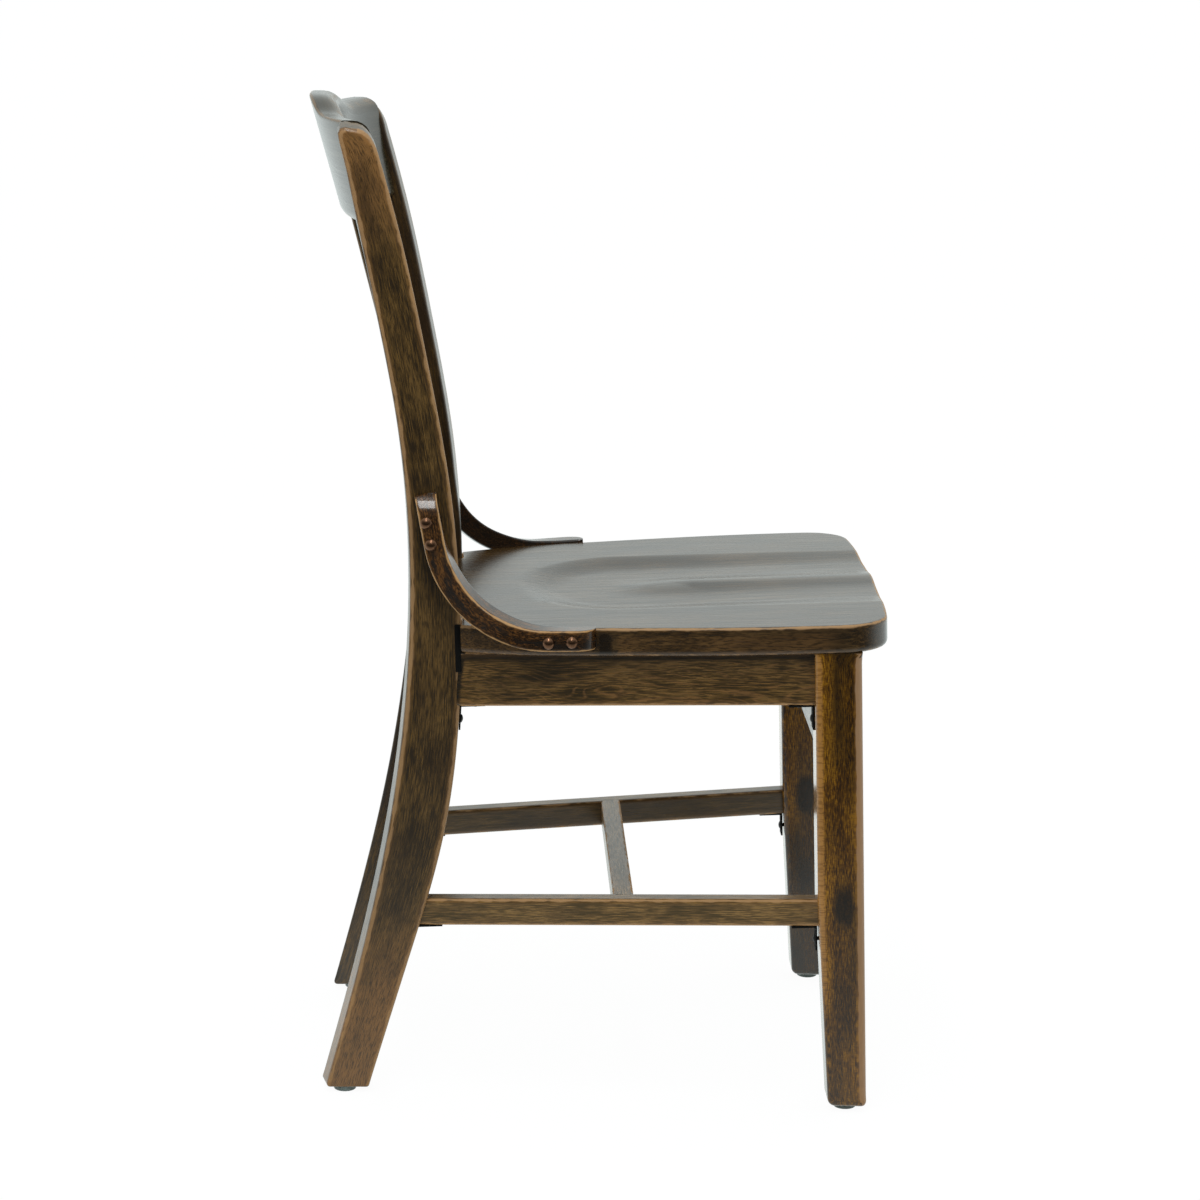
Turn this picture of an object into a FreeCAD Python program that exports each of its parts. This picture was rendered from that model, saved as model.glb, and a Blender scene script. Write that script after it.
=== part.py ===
"""Schoolhouse side chair: a joined wooden chair with a scooped plank seat and bent hip braces.

Millimetres, +Z up, origin on the floor under the middle of the chair's box.
The chair faces -Y, so the sitter's left is +X. Each paired piece is drawn on the left and mirrored.

The seat, aprons, stretchers and front legs are one square frame that is tipped back a little.
They are drawn in that frame, as (x, d, h): d is the depth behind the seat's front edge and h is
the height above the seat's rim. The function tip() carries them into the chair's own frame.
"""
import FreeCAD
import Part
import math
import os
from FreeCAD import Vector

# The square frame
SEAT_HEIGHT = 458.0
SEAT_FRONT_Y = -265.0
FRAME_TILT = 2.25

# Seat plank
SEAT_THICK = 26.0
SEAT_EDGE = [(170.5, 385.0), (185.0, 350.0), (201.5, 263.0), (214.0, 168.0), (219.5, 57.0), (216.2, 32.0),
             (206.6, 17.9), (192.3, 8.3), (172.0, 4.7), (100.0, 1.6)]
SEAT_REAR_D = 412.0
SEAT_TOP_ROUND = 2.5
SEAT_LOW_ROUND = 4.0
NOTCH_GAP = 1.5
SCOOP_DEPTH = 6.5
SCOOP_FRONT_FADE = 0.4
SCOOP_HALF_WIDTH = 103.0
SCOOP_WALL = 56.0
SCOOP_STRAIGHT_D = 235.0
SCOOP_REAR_D = 318.0
RIDGE_SHARE = 0.85
RIDGE_HALF_WIDTH = 26.0
RIDGE_REAR_D = 260.0
RIDGE_FADE = 90.0
SCOOP_LIP = 0.4

# Back posts, drawn as (y, z) outlines that run from the floor end to the top
GLIDE_HEIGHT = 5.0
POST_INNER = 141.0
POST_OUTER = 165.0
POST_REAR = [(248.5, 5.0), (224.0, 98.0), (190.5, 252.0), (172.5, 405.0), (170.5, 485.0),
             (181.5, 623.0), (202.0, 730.0), (234.5, 882.0)]
POST_FRONT = [(204.0, 5.0), (168.0, 127.0), (137.0, 243.0), (124.0, 345.0), (122.8, 450.0),
              (131.0, 555.0), (152.5, 675.0), (178.0, 791.0), (196.0, 857.0)]
POST_TOP_ARC = [(202.5, 876.0), (214.0, 886.0)]
POST_TOP_CORNER = (233.6, 886.6)
POST_TOP_REAR = (230.0, 888.0)
POST_ROUND = 3.5

# Front legs
LEG_INNER = 177.0
LEG_OUTER = 215.0
LEG_FRONT_D = 31.0
LEG_REAR_D = 73.5
LEG_FOOT_REAR_D = 66.5
LEG_TAPER_H = -255.0
LEG_LONG_H = -470.0
LEG_ROUND = 5.0

# Rails between the legs and the posts follow one line in plan
RAIL_LINE_X = 196.0
RAIL_LINE_D = 52.0
RAIL_TAPER = 0.12
RAIL_THICK = 20.0
RAIL_ROUND = 2.0
RAIL_BLANK_D = 470.0
APRON_LOW_H = -76.0
STRETCHER_TOP_H = -257.0
STRETCHER_LOW_H = -282.0
CROSS_D = 247.5
CROSS_WIDTH = 19.0
FRONT_APRON_D = (51.7, 71.7)
FRONT_APRON_LOW_H = -119.0
REAR_APRON_D = (395.0, 415.0)

# Crest rail, bowed backwards and leaning with the posts
CREST_LOW_Z = 796.0
CREST_END_Z = 889.5
CREST_RISE = 14.5
CREST_HUMP = 58.0
CREST_LEAN = 0.285
CREST_BOW = 28.8
CREST_THICK = 22.9
CREST_REAR_Y = 235.0
CREST_TOP_ROUND = 8.5
CREST_LOW_ROUND = 6.0

# Lower back rail and slats
LOW_RAIL_Z = (520.0, 560.0)
LOW_RAIL_Y = 158.0
LOW_RAIL_LEAN = 0.2
LOW_RAIL_THICK = 20.0
SLAT_SPACING = 84.0
SLAT_WIDTH = 42.0
SLAT_THICK = 11.0
SLAT_TENON = 12.0
SLAT_ROUND = 2.0

# Hip braces, as a centre line in the side view and a plan curve along the seat's side
BRACE_TOP = (155.0, 562.0)
BRACE_CORNER = (130.5, 434.0)
BRACE_TIP = (2.0, 440.5)
BRACE_BEND = 97.0
BRACE_FACE = 19.0
BRACE_THICK = 21.0
BRACE_PLAN = [(201.9, -2.0), (198.6, 24.0), (194.0, 52.0), (186.0, 85.0), (175.5, 116.0), (165.0, 150.0)]
BRACE_NOSE = 18.0
BRACE_BOLTS = [(154.0, 538.5), (149.5, 519.0), (44.5, 437.0), (24.0, 438.7)]
BOLT_HEAD_R = 5.4
BOLT_HEAD_H = 3.6
BOLT_SHANK_R = 3.0
BOLT_GRIP = 40.0
BOLT_STAND = 0.4

# Steel angle brackets and their pan-head screws
BRACKET_LEG = 23.0
BRACKET_WIDTH = 16.0
BRACKET_THICK = 1.6
BRACKET_SCREW_AT = 14.0
APRON_POST_D = 387.0
STRETCHER_POST_D = 425.0
SCREW_R = 1.8
SCREW_LENGTH = 13.0
SCREW_HEAD_R = 3.8
SCREW_HEAD_H = 2.0
BRACKET_LET_IN = 1.8

# Flat plates in the gap between the posts and the seat's rear corners
SEAT_PLATE_X = (144.5, 166.0)
SEAT_PLATE_D = (385.6, 388.6)
SEAT_PLATE_H = (-44.0, -4.0)
SEAT_PLATE_SCREW_H = -15.0

# Glides under the feet
GLIDE_R = 10.3
GLIDE_ROUND = 1.5
GLIDE_FRONT = (196.0, -233.0)
GLIDE_REAR = (153.0, 226.0)
NAIL_R = 1.3
NAIL_HEAD_R = 3.2
NAIL_HEAD_H = 1.2
NAIL_BASE_Z = 1.5
NAIL_TOP_Z = 23.0

# Hidden joinery
DOWEL_R = 4.0
CROSS_DOWEL_R = 5.0
DOWEL_LENGTH = 36.0
POST_DOWEL_X = 157.0
CREST_DOWEL_X = 161.0
CREST_DOWEL_LENGTH = 30.0
CREST_DOWEL_BACK = 3.5
CREST_DOWEL_Z = [812.0, 862.0]
LOW_RAIL_DOWEL_DZ = [-10.0, 10.0]
REAR_APRON_DOWEL_H = [-40.0, -62.0]
FRONT_APRON_DOWEL_H = [-46.0, -104.0]
SIDE_APRON_DOWEL_H = [-34.0, -58.0]
SIDE_APRON_DOWEL_D = [56.0, 362.0]
STRETCHER_DOWEL_H = -265.0
STRETCHER_DOWEL_D = [56.0, 408.0]
CROSS_DOWEL_BITE = 12.0
SEAT_SCREW_R = 2.2
SEAT_SCREW_HEAD_R = 4.5
SEAT_SCREW_HEAD_H = 3.5
SEAT_SCREW_SEAT_H = -62.0
SEAT_SCREW_TIP_H = -14.0
SEAT_SCREW_SIDE_D = [150.0, 310.0]
SEAT_SCREW_FRONT_X = 90.0

DOWN = Vector(0, 0, -1)
UP = Vector(0, 0, 1)
LEFT = Vector(1, 0, 0)
ALONG_D = Vector(0, 1, 0)


def tip(shape):
    """Carries a shape from the square frame's (x, d, h) into the chair's frame."""
    moved = shape.copy()
    moved.rotate(Vector(0, 0, 0), LEFT, -FRAME_TILT)
    moved.translate(Vector(0, SEAT_FRONT_Y, SEAT_HEIGHT))
    return moved


def mirrored(shape):
    """The matching piece on the sitter's right."""
    return shape.mirror(Vector(0, 0, 0), LEFT)


def spline(points):
    """A smooth curve through the points."""
    curve = Part.BSplineCurve()
    curve.interpolate(points)
    return curve.toShape()


def line(start, end):
    return Part.makeLine(start, end)


def arc(start, middle, end):
    return Part.Arc(start, middle, end).toShape()


def plate(edges, sweep):
    """A solid made by moving a closed outline along a straight sweep."""
    return Part.Face(Part.Wire(Part.__sortEdges__(edges))).extrude(sweep)


def polygon(points, sweep):
    return Part.Face(Part.makePolygon(points + points[:1])).extrude(sweep)


def rounded(shape, radius, chosen):
    """Rounds the edges that the test picks."""
    return shape.makeFillet(radius, [edge for edge in shape.Edges if chosen(edge)])


def runs_along(direction, least):
    """Tests for straight edges of some length that run along a direction."""
    def test(edge):
        ends = edge.Vertexes[-1].Point - edge.Vertexes[0].Point
        return ends.Length > least and abs(ends.dot(direction)) > 0.98 * ends.Length
    return test


def without(shape, tools):
    """The shape with room cut in it for each tool."""
    for tool in tools:
        shape = shape.cut(tool)
    return shape


def rail_x(d):
    """Centre line of the side rails in plan."""
    return RAIL_LINE_X - RAIL_TAPER * (d - RAIL_LINE_D)


def smooth(t):
    """Rises smoothly from 0 to 1 as t goes from 0 to 1."""
    t = min(max(t, 0.0), 1.0)
    return t * t * (3.0 - 2.0 * t)


def scoop(x, d):
    """Depth of the hollow: a stadium open at the front, with a ridge between the thighs."""
    past = max(d - SCOOP_STRAIGHT_D, 0.0) / (SCOOP_REAR_D - SCOOP_STRAIGHT_D)
    reach = math.hypot(x, past * SCOOP_HALF_WIDTH)
    bowl = 1.0 - smooth((reach - SCOOP_HALF_WIDTH) / SCOOP_WALL + 0.5)
    ridge = math.exp(-(x / RIDGE_HALF_WIDTH) ** 2) * smooth((RIDGE_REAR_D - d) / RIDGE_FADE)
    front = 1.0 - SCOOP_FRONT_FADE * smooth(1.0 - d / SCOOP_STRAIGHT_D)
    return SCOOP_DEPTH * bowl * front * (1.0 - RIDGE_SHARE * ridge)


def make_seat():
    left = [Vector(x, d, 0) for x, d in SEAT_EDGE]
    right = [Vector(-x, d, 0) for x, d in reversed(SEAT_EDGE)]
    notch_x = POST_INNER - NOTCH_GAP
    notch_d = SEAT_EDGE[0][1]
    rear = [left[0], Vector(notch_x, notch_d, 0), Vector(notch_x, SEAT_REAR_D, 0),
            Vector(-notch_x, SEAT_REAR_D, 0), Vector(-notch_x, notch_d, 0), right[-1]]
    edges = [spline(left + [Vector(0, 0, 0)] + right)]
    edges += [line(rear[i], rear[i + 1]) for i in range(len(rear) - 1)]
    slab = plate(edges, DOWN * SEAT_THICK)

    def shown_rim(height):
        def test(edge):
            centre = edge.CenterOfMass
            return abs(centre.z - height) < 0.1 and centre.y < notch_d - 1.0
        return test

    slab = rounded(slab, SEAT_TOP_ROUND, shown_rim(0.0))
    slab = rounded(slab, SEAT_LOW_ROUND, shown_rim(-SEAT_THICK))
    rows = []
    for x in range(-150, 151, 10):
        rows.append([Vector(x, d, SCOOP_LIP - scoop(x, d)) for d in range(-20, 371, 10)])
    hollow = Part.BSplineSurface()
    hollow.interpolate(rows)
    return tip(slab.cut(hollow.toShape().extrude(UP * SEAT_THICK)))


def post_blank(inner, outer):
    """The post's side outline, carried across from one face to the other."""
    rear = [Vector(inner, y, z) for y, z in POST_REAR]
    front = [Vector(inner, y, z) for y, z in POST_FRONT]
    over = [Vector(inner, y, z) for y, z in POST_TOP_ARC]
    back = Vector(inner, POST_TOP_REAR[0], POST_TOP_REAR[1])
    corner = Vector(inner, POST_TOP_CORNER[0], POST_TOP_CORNER[1])
    edges = [spline(rear), spline(front), line(rear[0], front[0]), arc(front[-1], over[0], over[1]),
             line(over[1], back), arc(back, corner, rear[-1])]
    return plate(edges, LEFT * (outer - inner))


def make_post():
    post = post_blank(POST_INNER, POST_OUTER)
    foot_z = GLIDE_HEIGHT + 0.1

    def long_edge(edge):
        box = edge.BoundBox
        return box.XLength < 0.1 and box.ZMax > foot_z

    return rounded(post, POST_ROUND, long_edge)


def make_front_leg():
    outline = [Vector(LEG_INNER, LEG_FRONT_D, -SEAT_THICK), Vector(LEG_INNER, LEG_REAR_D, -SEAT_THICK),
               Vector(LEG_INNER, LEG_REAR_D, LEG_TAPER_H), Vector(LEG_INNER, LEG_FOOT_REAR_D, LEG_LONG_H),
               Vector(LEG_INNER, LEG_FRONT_D, LEG_LONG_H)]
    leg = polygon(outline, LEFT * (LEG_OUTER - LEG_INNER))
    leg = tip(rounded(leg, LEG_ROUND, runs_along(UP, 100.0)))
    floor = Part.makeBox(600, 600, 100, Vector(-300, -500, GLIDE_HEIGHT - 100))
    return leg.cut(floor)


def make_side_rail(top_h, low_h):
    """An apron or stretcher blank that follows the plan line from leg to post."""
    half = RAIL_THICK / 2
    start = LEG_REAR_D
    end = RAIL_BLANK_D
    outline = [Vector(rail_x(start) - half, start, low_h), Vector(rail_x(start) + half, start, low_h),
               Vector(rail_x(end) + half, end, low_h), Vector(rail_x(end) - half, end, low_h)]
    rail = polygon(outline, UP * (top_h - low_h))
    return tip(rounded(rail, RAIL_ROUND, runs_along(ALONG_D, 100.0)))


def butted(blank):
    """The part of a rail blank in front of the post, with its end fitted to the post's face."""
    pieces = blank.cut(post_blank(POST_INNER - RAIL_THICK, POST_OUTER + RAIL_THICK)).Solids
    return min(pieces, key=lambda piece: piece.CenterOfMass.y)


def make_cross_rail(d_range, low_h, half_length):
    """A straight apron across the chair, hung under the seat."""
    rail = Part.makeBox(2 * half_length, d_range[1] - d_range[0], -SEAT_THICK - low_h,
                        Vector(-half_length, d_range[0], low_h))
    return tip(rounded(rail, RAIL_ROUND, runs_along(LEFT, 100.0)))


def make_cross_stretcher():
    """Its ends are cut to the slope of the side stretchers."""
    half = CROSS_WIDTH / 2
    ends = [(CROSS_D - half, 1), (CROSS_D + half, 1), (CROSS_D + half, -1), (CROSS_D - half, -1)]
    outline = [Vector(side * (rail_x(d) - RAIL_THICK / 2), d, STRETCHER_LOW_H) for d, side in ends]
    bar = polygon(outline, UP * (STRETCHER_TOP_H - STRETCHER_LOW_H))
    return tip(rounded(bar, RAIL_ROUND, runs_along(LEFT, 100.0)))


def crest_top(x):
    """Height of the crest's top edge: level shoulders that sweep up to a broad hump."""
    return CREST_END_Z + CREST_RISE * math.exp(-(x / CREST_HUMP) ** 4)


def make_crest():
    """A leaning, bowed slab trimmed to the crest's front outline."""
    end = POST_INNER
    rear = CREST_REAR_Y
    z = CREST_LOW_Z
    back = [Vector(end, rear - CREST_BOW, z), Vector(0, rear, z), Vector(-end, rear - CREST_BOW, z)]
    face = [point - Vector(0, CREST_THICK, 0) for point in back]
    edges = [arc(*back), arc(*face), line(back[0], face[0]), line(back[2], face[2])]
    tall = CREST_END_Z + CREST_RISE - CREST_LOW_Z + 5.0
    slab = plate(edges, Vector(0, CREST_LEAN * tall, tall))
    steps = 24
    xs = [end - 2 * end * i / steps for i in range(steps + 1)]
    top = spline([Vector(x, 0, crest_top(x)) for x in xs])
    end_z = crest_top(end)
    corners = [Vector(end, 0, end_z), Vector(end, 0, z), Vector(-end, 0, z), Vector(-end, 0, end_z)]
    outline = [top] + [line(corners[i], corners[i + 1]) for i in range(3)]
    crest = slab.common(plate(outline, Vector(0, 400, 0)))

    def long_edge(low, high):
        def test(edge):
            return edge.BoundBox.XLength > end and low < edge.CenterOfMass.z < high
        return test

    crest = rounded(crest, CREST_TOP_ROUND, long_edge(end_z - 5.0, 1000.0))
    return rounded(crest, CREST_LOW_ROUND, long_edge(0.0, z + 5.0))


def make_low_rail():
    z0, z1 = LOW_RAIL_Z
    run = LOW_RAIL_LEAN * (z1 - z0) / 2
    half = LOW_RAIL_THICK / 2
    y = LOW_RAIL_Y
    outline = [Vector(-POST_INNER, y - run - half, z0), Vector(-POST_INNER, y - run + half, z0),
               Vector(-POST_INNER, y + run + half, z1), Vector(-POST_INNER, y + run - half, z1)]
    rail = polygon(outline, LEFT * (2 * POST_INNER))
    return rounded(rail, RAIL_ROUND + 1.0, runs_along(LEFT, 100.0))


def make_slat(x):
    """A straight slat from the lower rail to the bowed crest, with a stub tenon at each end."""
    low_z = LOW_RAIL_Z[1] - SLAT_TENON
    top_z = CREST_LOW_Z + SLAT_TENON
    low_y = LOW_RAIL_Y + LOW_RAIL_LEAN * (LOW_RAIL_Z[1] - LOW_RAIL_Z[0]) / 2
    top_y = CREST_REAR_Y - CREST_THICK / 2 - CREST_BOW * (x / POST_INNER) ** 2
    lean = (top_y - low_y) / (CREST_LOW_Z - LOW_RAIL_Z[1])
    half = SLAT_THICK / 2
    low = low_y - lean * SLAT_TENON
    top = top_y + lean * SLAT_TENON
    left_x = x - SLAT_WIDTH / 2
    outline = [Vector(left_x, low - half, low_z), Vector(left_x, low + half, low_z),
               Vector(left_x, top + half, top_z), Vector(left_x, top - half, top_z)]
    slat = polygon(outline, LEFT * SLAT_WIDTH)
    tall = Vector(0, lean, 1).normalize()
    return rounded(slat, SLAT_ROUND, runs_along(tall, 100.0))


def brace_side_view():
    """The brace in the side view: two straight ends joined by one large bend."""
    top = Vector(0, BRACE_TOP[0], BRACE_TOP[1])
    corner = Vector(0, BRACE_CORNER[0], BRACE_CORNER[1])
    front = Vector(0, BRACE_TIP[0], BRACE_TIP[1])
    along_top = (top - corner).normalize()
    along_front = (front - corner).normalize()
    inward = (along_top + along_front).normalize()
    half_angle = inward.getAngle(along_top)
    centre = corner + inward * (BRACE_BEND / math.sin(half_angle))
    to_tangent = BRACE_BEND / math.tan(half_angle)
    first = corner + along_top * to_tangent
    last = corner + along_front * to_tangent
    sides = []
    for offset in (-BRACE_FACE / 2, BRACE_FACE / 2):
        radius = BRACE_BEND + offset
        shift_top = (first - centre).normalize() * offset
        shift_front = (last - centre).normalize() * offset
        middle = centre - inward * radius
        sides.append((top + shift_top, first + shift_top, middle, last + shift_front,
                      front + shift_front))
    edges = [line(sides[0][0], sides[1][0]), line(sides[0][4], sides[1][4])]
    for end_top, start, middle, stop, end_front in sides:
        edges += [line(end_top, start), arc(start, middle, stop), line(stop, end_front)]
    return plate(edges, LEFT * 400)


def make_brace():
    """The side view trimmed to a strip that follows the post and the seat's side in plan."""
    inner = [Vector(x, y, 400) for x, y in BRACE_PLAN]
    outer = [point + LEFT * BRACE_THICK for point in inner]
    top_y = BRACE_TOP[0] + 20.0
    nose = Vector(inner[0].x + BRACE_THICK - 0.29 * BRACE_NOSE, inner[0].y + 0.29 * BRACE_NOSE, 400)
    nose_in = Vector(inner[0].x + BRACE_THICK - BRACE_NOSE, inner[0].y, 400)
    outer[0] = Vector(outer[0].x - 1.0, inner[0].y + BRACE_NOSE, 400)
    end_in = Vector(inner[-1].x, top_y, 400)
    end_out = Vector(outer[-1].x, top_y, 400)
    edges = [spline(inner), spline(outer), line(inner[-1], end_in), line(outer[-1], end_out),
             line(end_in, end_out), line(inner[0], nose_in), arc(nose_in, nose, outer[0])]
    brace = brace_side_view().common(plate(edges, UP * 200))
    top_z = BRACE_TOP[1] - BRACE_NOSE
    crown_x = POST_OUTER + BRACE_THICK - BRACE_NOSE
    crown = Part.makeCylinder(BRACE_NOSE, 60, Vector(crown_x, 120, top_z), ALONG_D)
    keep = Part.makeBox(BRACE_THICK - BRACE_NOSE, 60, 60, Vector(POST_OUTER, 120, top_z))
    above = Part.makeBox(80, 60, 60, Vector(POST_OUTER - 20, 120, top_z))
    return brace.cut(above.cut(crown.fuse(keep)))


def brace_outer_x(y):
    """How far out the brace's outer face stands at a place along its length."""
    for (x0, y0), (x1, y1) in zip(BRACE_PLAN, BRACE_PLAN[1:]):
        if y <= y1:
            return x0 + (x1 - x0) * (y - y0) / (y1 - y0) + BRACE_THICK
    return BRACE_PLAN[-1][0] + BRACE_THICK


def domed_pin(seat_at, into, shank_r, length, head_r, head_h):
    """A bolt or screw turned from one profile: a shank under a low domed head on a short collar."""
    collar = 0.3 * head_h
    cap = head_h - collar
    ball_r = (head_r ** 2 + cap ** 2) / (2 * cap)
    half = math.asin(head_r / ball_r) / 2
    tip_at = Vector(0, 0, -length)
    crown = Vector(0, 0, head_h)
    side = [tip_at, Vector(shank_r, 0, -length), Vector(shank_r, 0, 0), Vector(head_r, 0, 0),
            Vector(head_r, 0, collar)]
    bulge = Vector(ball_r * math.sin(half), 0, head_h - ball_r + ball_r * math.cos(half))
    edges = [line(side[i], side[i + 1]) for i in range(len(side) - 1)]
    edges += [arc(side[-1], bulge, crown), line(crown, tip_at)]
    pin = Part.Face(Part.Wire(edges)).revolve(Vector(0, 0, 0), UP, 360)
    pin.Placement = FreeCAD.Placement(seat_at, FreeCAD.Rotation(UP, into * -1))
    return pin


def make_bolt(y, z):
    """A dome-head bolt that pulls the brace against the post or the seat's edge."""
    face = Vector(brace_outer_x(y) + BOLT_STAND, y, z)
    return domed_pin(face, LEFT * -1, BOLT_SHANK_R, BOLT_GRIP, BOLT_HEAD_R, BOLT_HEAD_H)


def make_screw(seat_at, into):
    """A pan-head screw: its head sits on the plate and its shank runs into the wood."""
    return domed_pin(seat_at, into, SCREW_R, SCREW_LENGTH, SCREW_HEAD_R, SCREW_HEAD_H)


def make_bracket(corner, along_rail, along_upright, let_in):
    """An angle plate in the corner under a rail, with its two screws.

    corner is the line where rail and upright meet, and the two directions run along their faces.
    A bracket that is let into the upright lies under its surface, with the screw's head sunk too.
    """
    side = LEFT * (BRACKET_WIDTH / 2)
    thick = BRACKET_THICK
    foot = along_rail * BRACKET_LEG
    stem = along_upright * BRACKET_LEG
    cosine = along_rail.dot(along_upright)
    from_rail = (along_upright - along_rail * cosine).normalize()
    from_upright = (along_rail - along_upright * cosine).normalize()
    sine = from_rail.dot(along_upright)
    corner = corner - along_rail * (let_in / sine)
    sunk = SCREW_HEAD_H if let_in else 0.0
    inside = (along_rail + along_upright) * (thick / sine)
    outline = [corner, corner + foot, corner + foot + from_rail * thick, corner + inside,
               corner + stem + from_upright * thick, corner + stem]
    angle = polygon([point - side for point in outline], side * 2)
    rail_seat = corner + along_rail * BRACKET_SCREW_AT + from_rail * thick
    upright_seat = corner + along_upright * BRACKET_SCREW_AT + from_upright * (thick - sunk)
    screws = [make_screw(rail_seat, from_rail * -1), make_screw(upright_seat, from_upright * -1)]
    return without(angle, screws), screws


def make_seat_plate(post):
    """A flat plate that stands on the post's front, with its sunk screw."""
    (x0, x1), (d0, d1), (h0, h1) = SEAT_PLATE_X, SEAT_PLATE_D, SEAT_PLATE_H
    blank = tip(Part.makeBox(x1 - x0, d1 - d0, h1 - h0, Vector(x0, d0, h0)))
    screw_x = (POST_INNER + POST_OUTER) / 2
    screw = make_screw(tipped_point(screw_x, d0 + SCREW_HEAD_H, SEAT_PLATE_SCREW_H), tipped_vector(1, 0))
    return blank.cut(post), screw


def tipped_vector(d, h):
    """A direction of the square frame, in the chair's frame."""
    return FreeCAD.Rotation(LEFT, -FRAME_TILT).multVec(Vector(0, d, h))


def tipped_point(x, d, h):
    return tipped_vector(d, h) + Vector(x, SEAT_FRONT_Y, SEAT_HEIGHT)


def post_front_at(z):
    """The post's front edge at a height, and the way down along it."""
    curve = Part.BSplineCurve()
    curve.interpolate([Vector(0, y, height) for y, height in POST_FRONT])
    level = Part.makePlane(20, 800, Vector(-10, -400, z))
    point = curve.toShape().section(level).Vertexes[0].Point
    return point, curve.tangent(curve.parameter(point))[0] * -1


def make_glide(place):
    """A round glide with a flat base and the nail that holds it."""
    x, y = place
    puck = Part.makeCylinder(GLIDE_R, GLIDE_HEIGHT, Vector(x, y, 0))
    puck = rounded(puck, GLIDE_ROUND, lambda edge: edge.BoundBox.ZMax < 0.1)
    nail = Part.makeCylinder(NAIL_R, NAIL_TOP_Z - NAIL_BASE_Z, Vector(x, y, NAIL_BASE_Z))
    head = Part.makeCylinder(NAIL_HEAD_R, NAIL_HEAD_H, Vector(x, y, NAIL_BASE_Z))
    nail = nail.fuse(head).removeSplitter()
    access = Part.makeCylinder(NAIL_HEAD_R, NAIL_BASE_Z, Vector(x, y, 0))
    return without(puck, [nail, access]), nail


def cross_dowel(x_outer, y, z, length=DOWEL_LENGTH):
    """A dowel across the chair that ends inside an upright."""
    return Part.makeCylinder(DOWEL_R, length, Vector(x_outer, y, z), LEFT * -1)


def rail_dowel(d, h, radius):
    """A dowel along a side rail, in the square frame, from depth d backwards."""
    along = Vector(-RAIL_TAPER, 1, 0).normalize()
    return tip(Part.makeCylinder(radius, DOWEL_LENGTH, Vector(rail_x(d), d, h), along))


def make_seat_screw(x, d, low_h):
    """A countersunk seat screw, driven up from a pocket in the apron, and that pocket."""
    seat = Vector(x, d, SEAT_SCREW_SEAT_H)
    shank = Part.makeCylinder(SEAT_SCREW_R, SEAT_SCREW_TIP_H - SEAT_SCREW_SEAT_H, seat)
    head = Part.makeCylinder(SEAT_SCREW_HEAD_R, SEAT_SCREW_HEAD_H, seat - UP * SEAT_SCREW_HEAD_H)
    pocket_tall = SEAT_SCREW_SEAT_H - low_h + 1.0
    pocket = Part.makeCylinder(SEAT_SCREW_HEAD_R, pocket_tall, Vector(x, d, low_h - 1.0))
    return tip(shank.fuse(head).removeSplitter()), tip(pocket)


def both(shapes):
    """Left pieces and their mirror images."""
    return shapes + [mirrored(shape) for shape in shapes]


def save(node, shapes):
    """Writes one node as one solid or as a group of separate solids."""
    shape = shapes[0] if len(shapes) == 1 else Part.makeCompound(shapes)
    shape.exportStep("parts/" + node + ".step")


def save_pair(node, shape):
    save(node + "_left", [shape])
    save(node + "_right", [mirrored(shape)])


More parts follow.
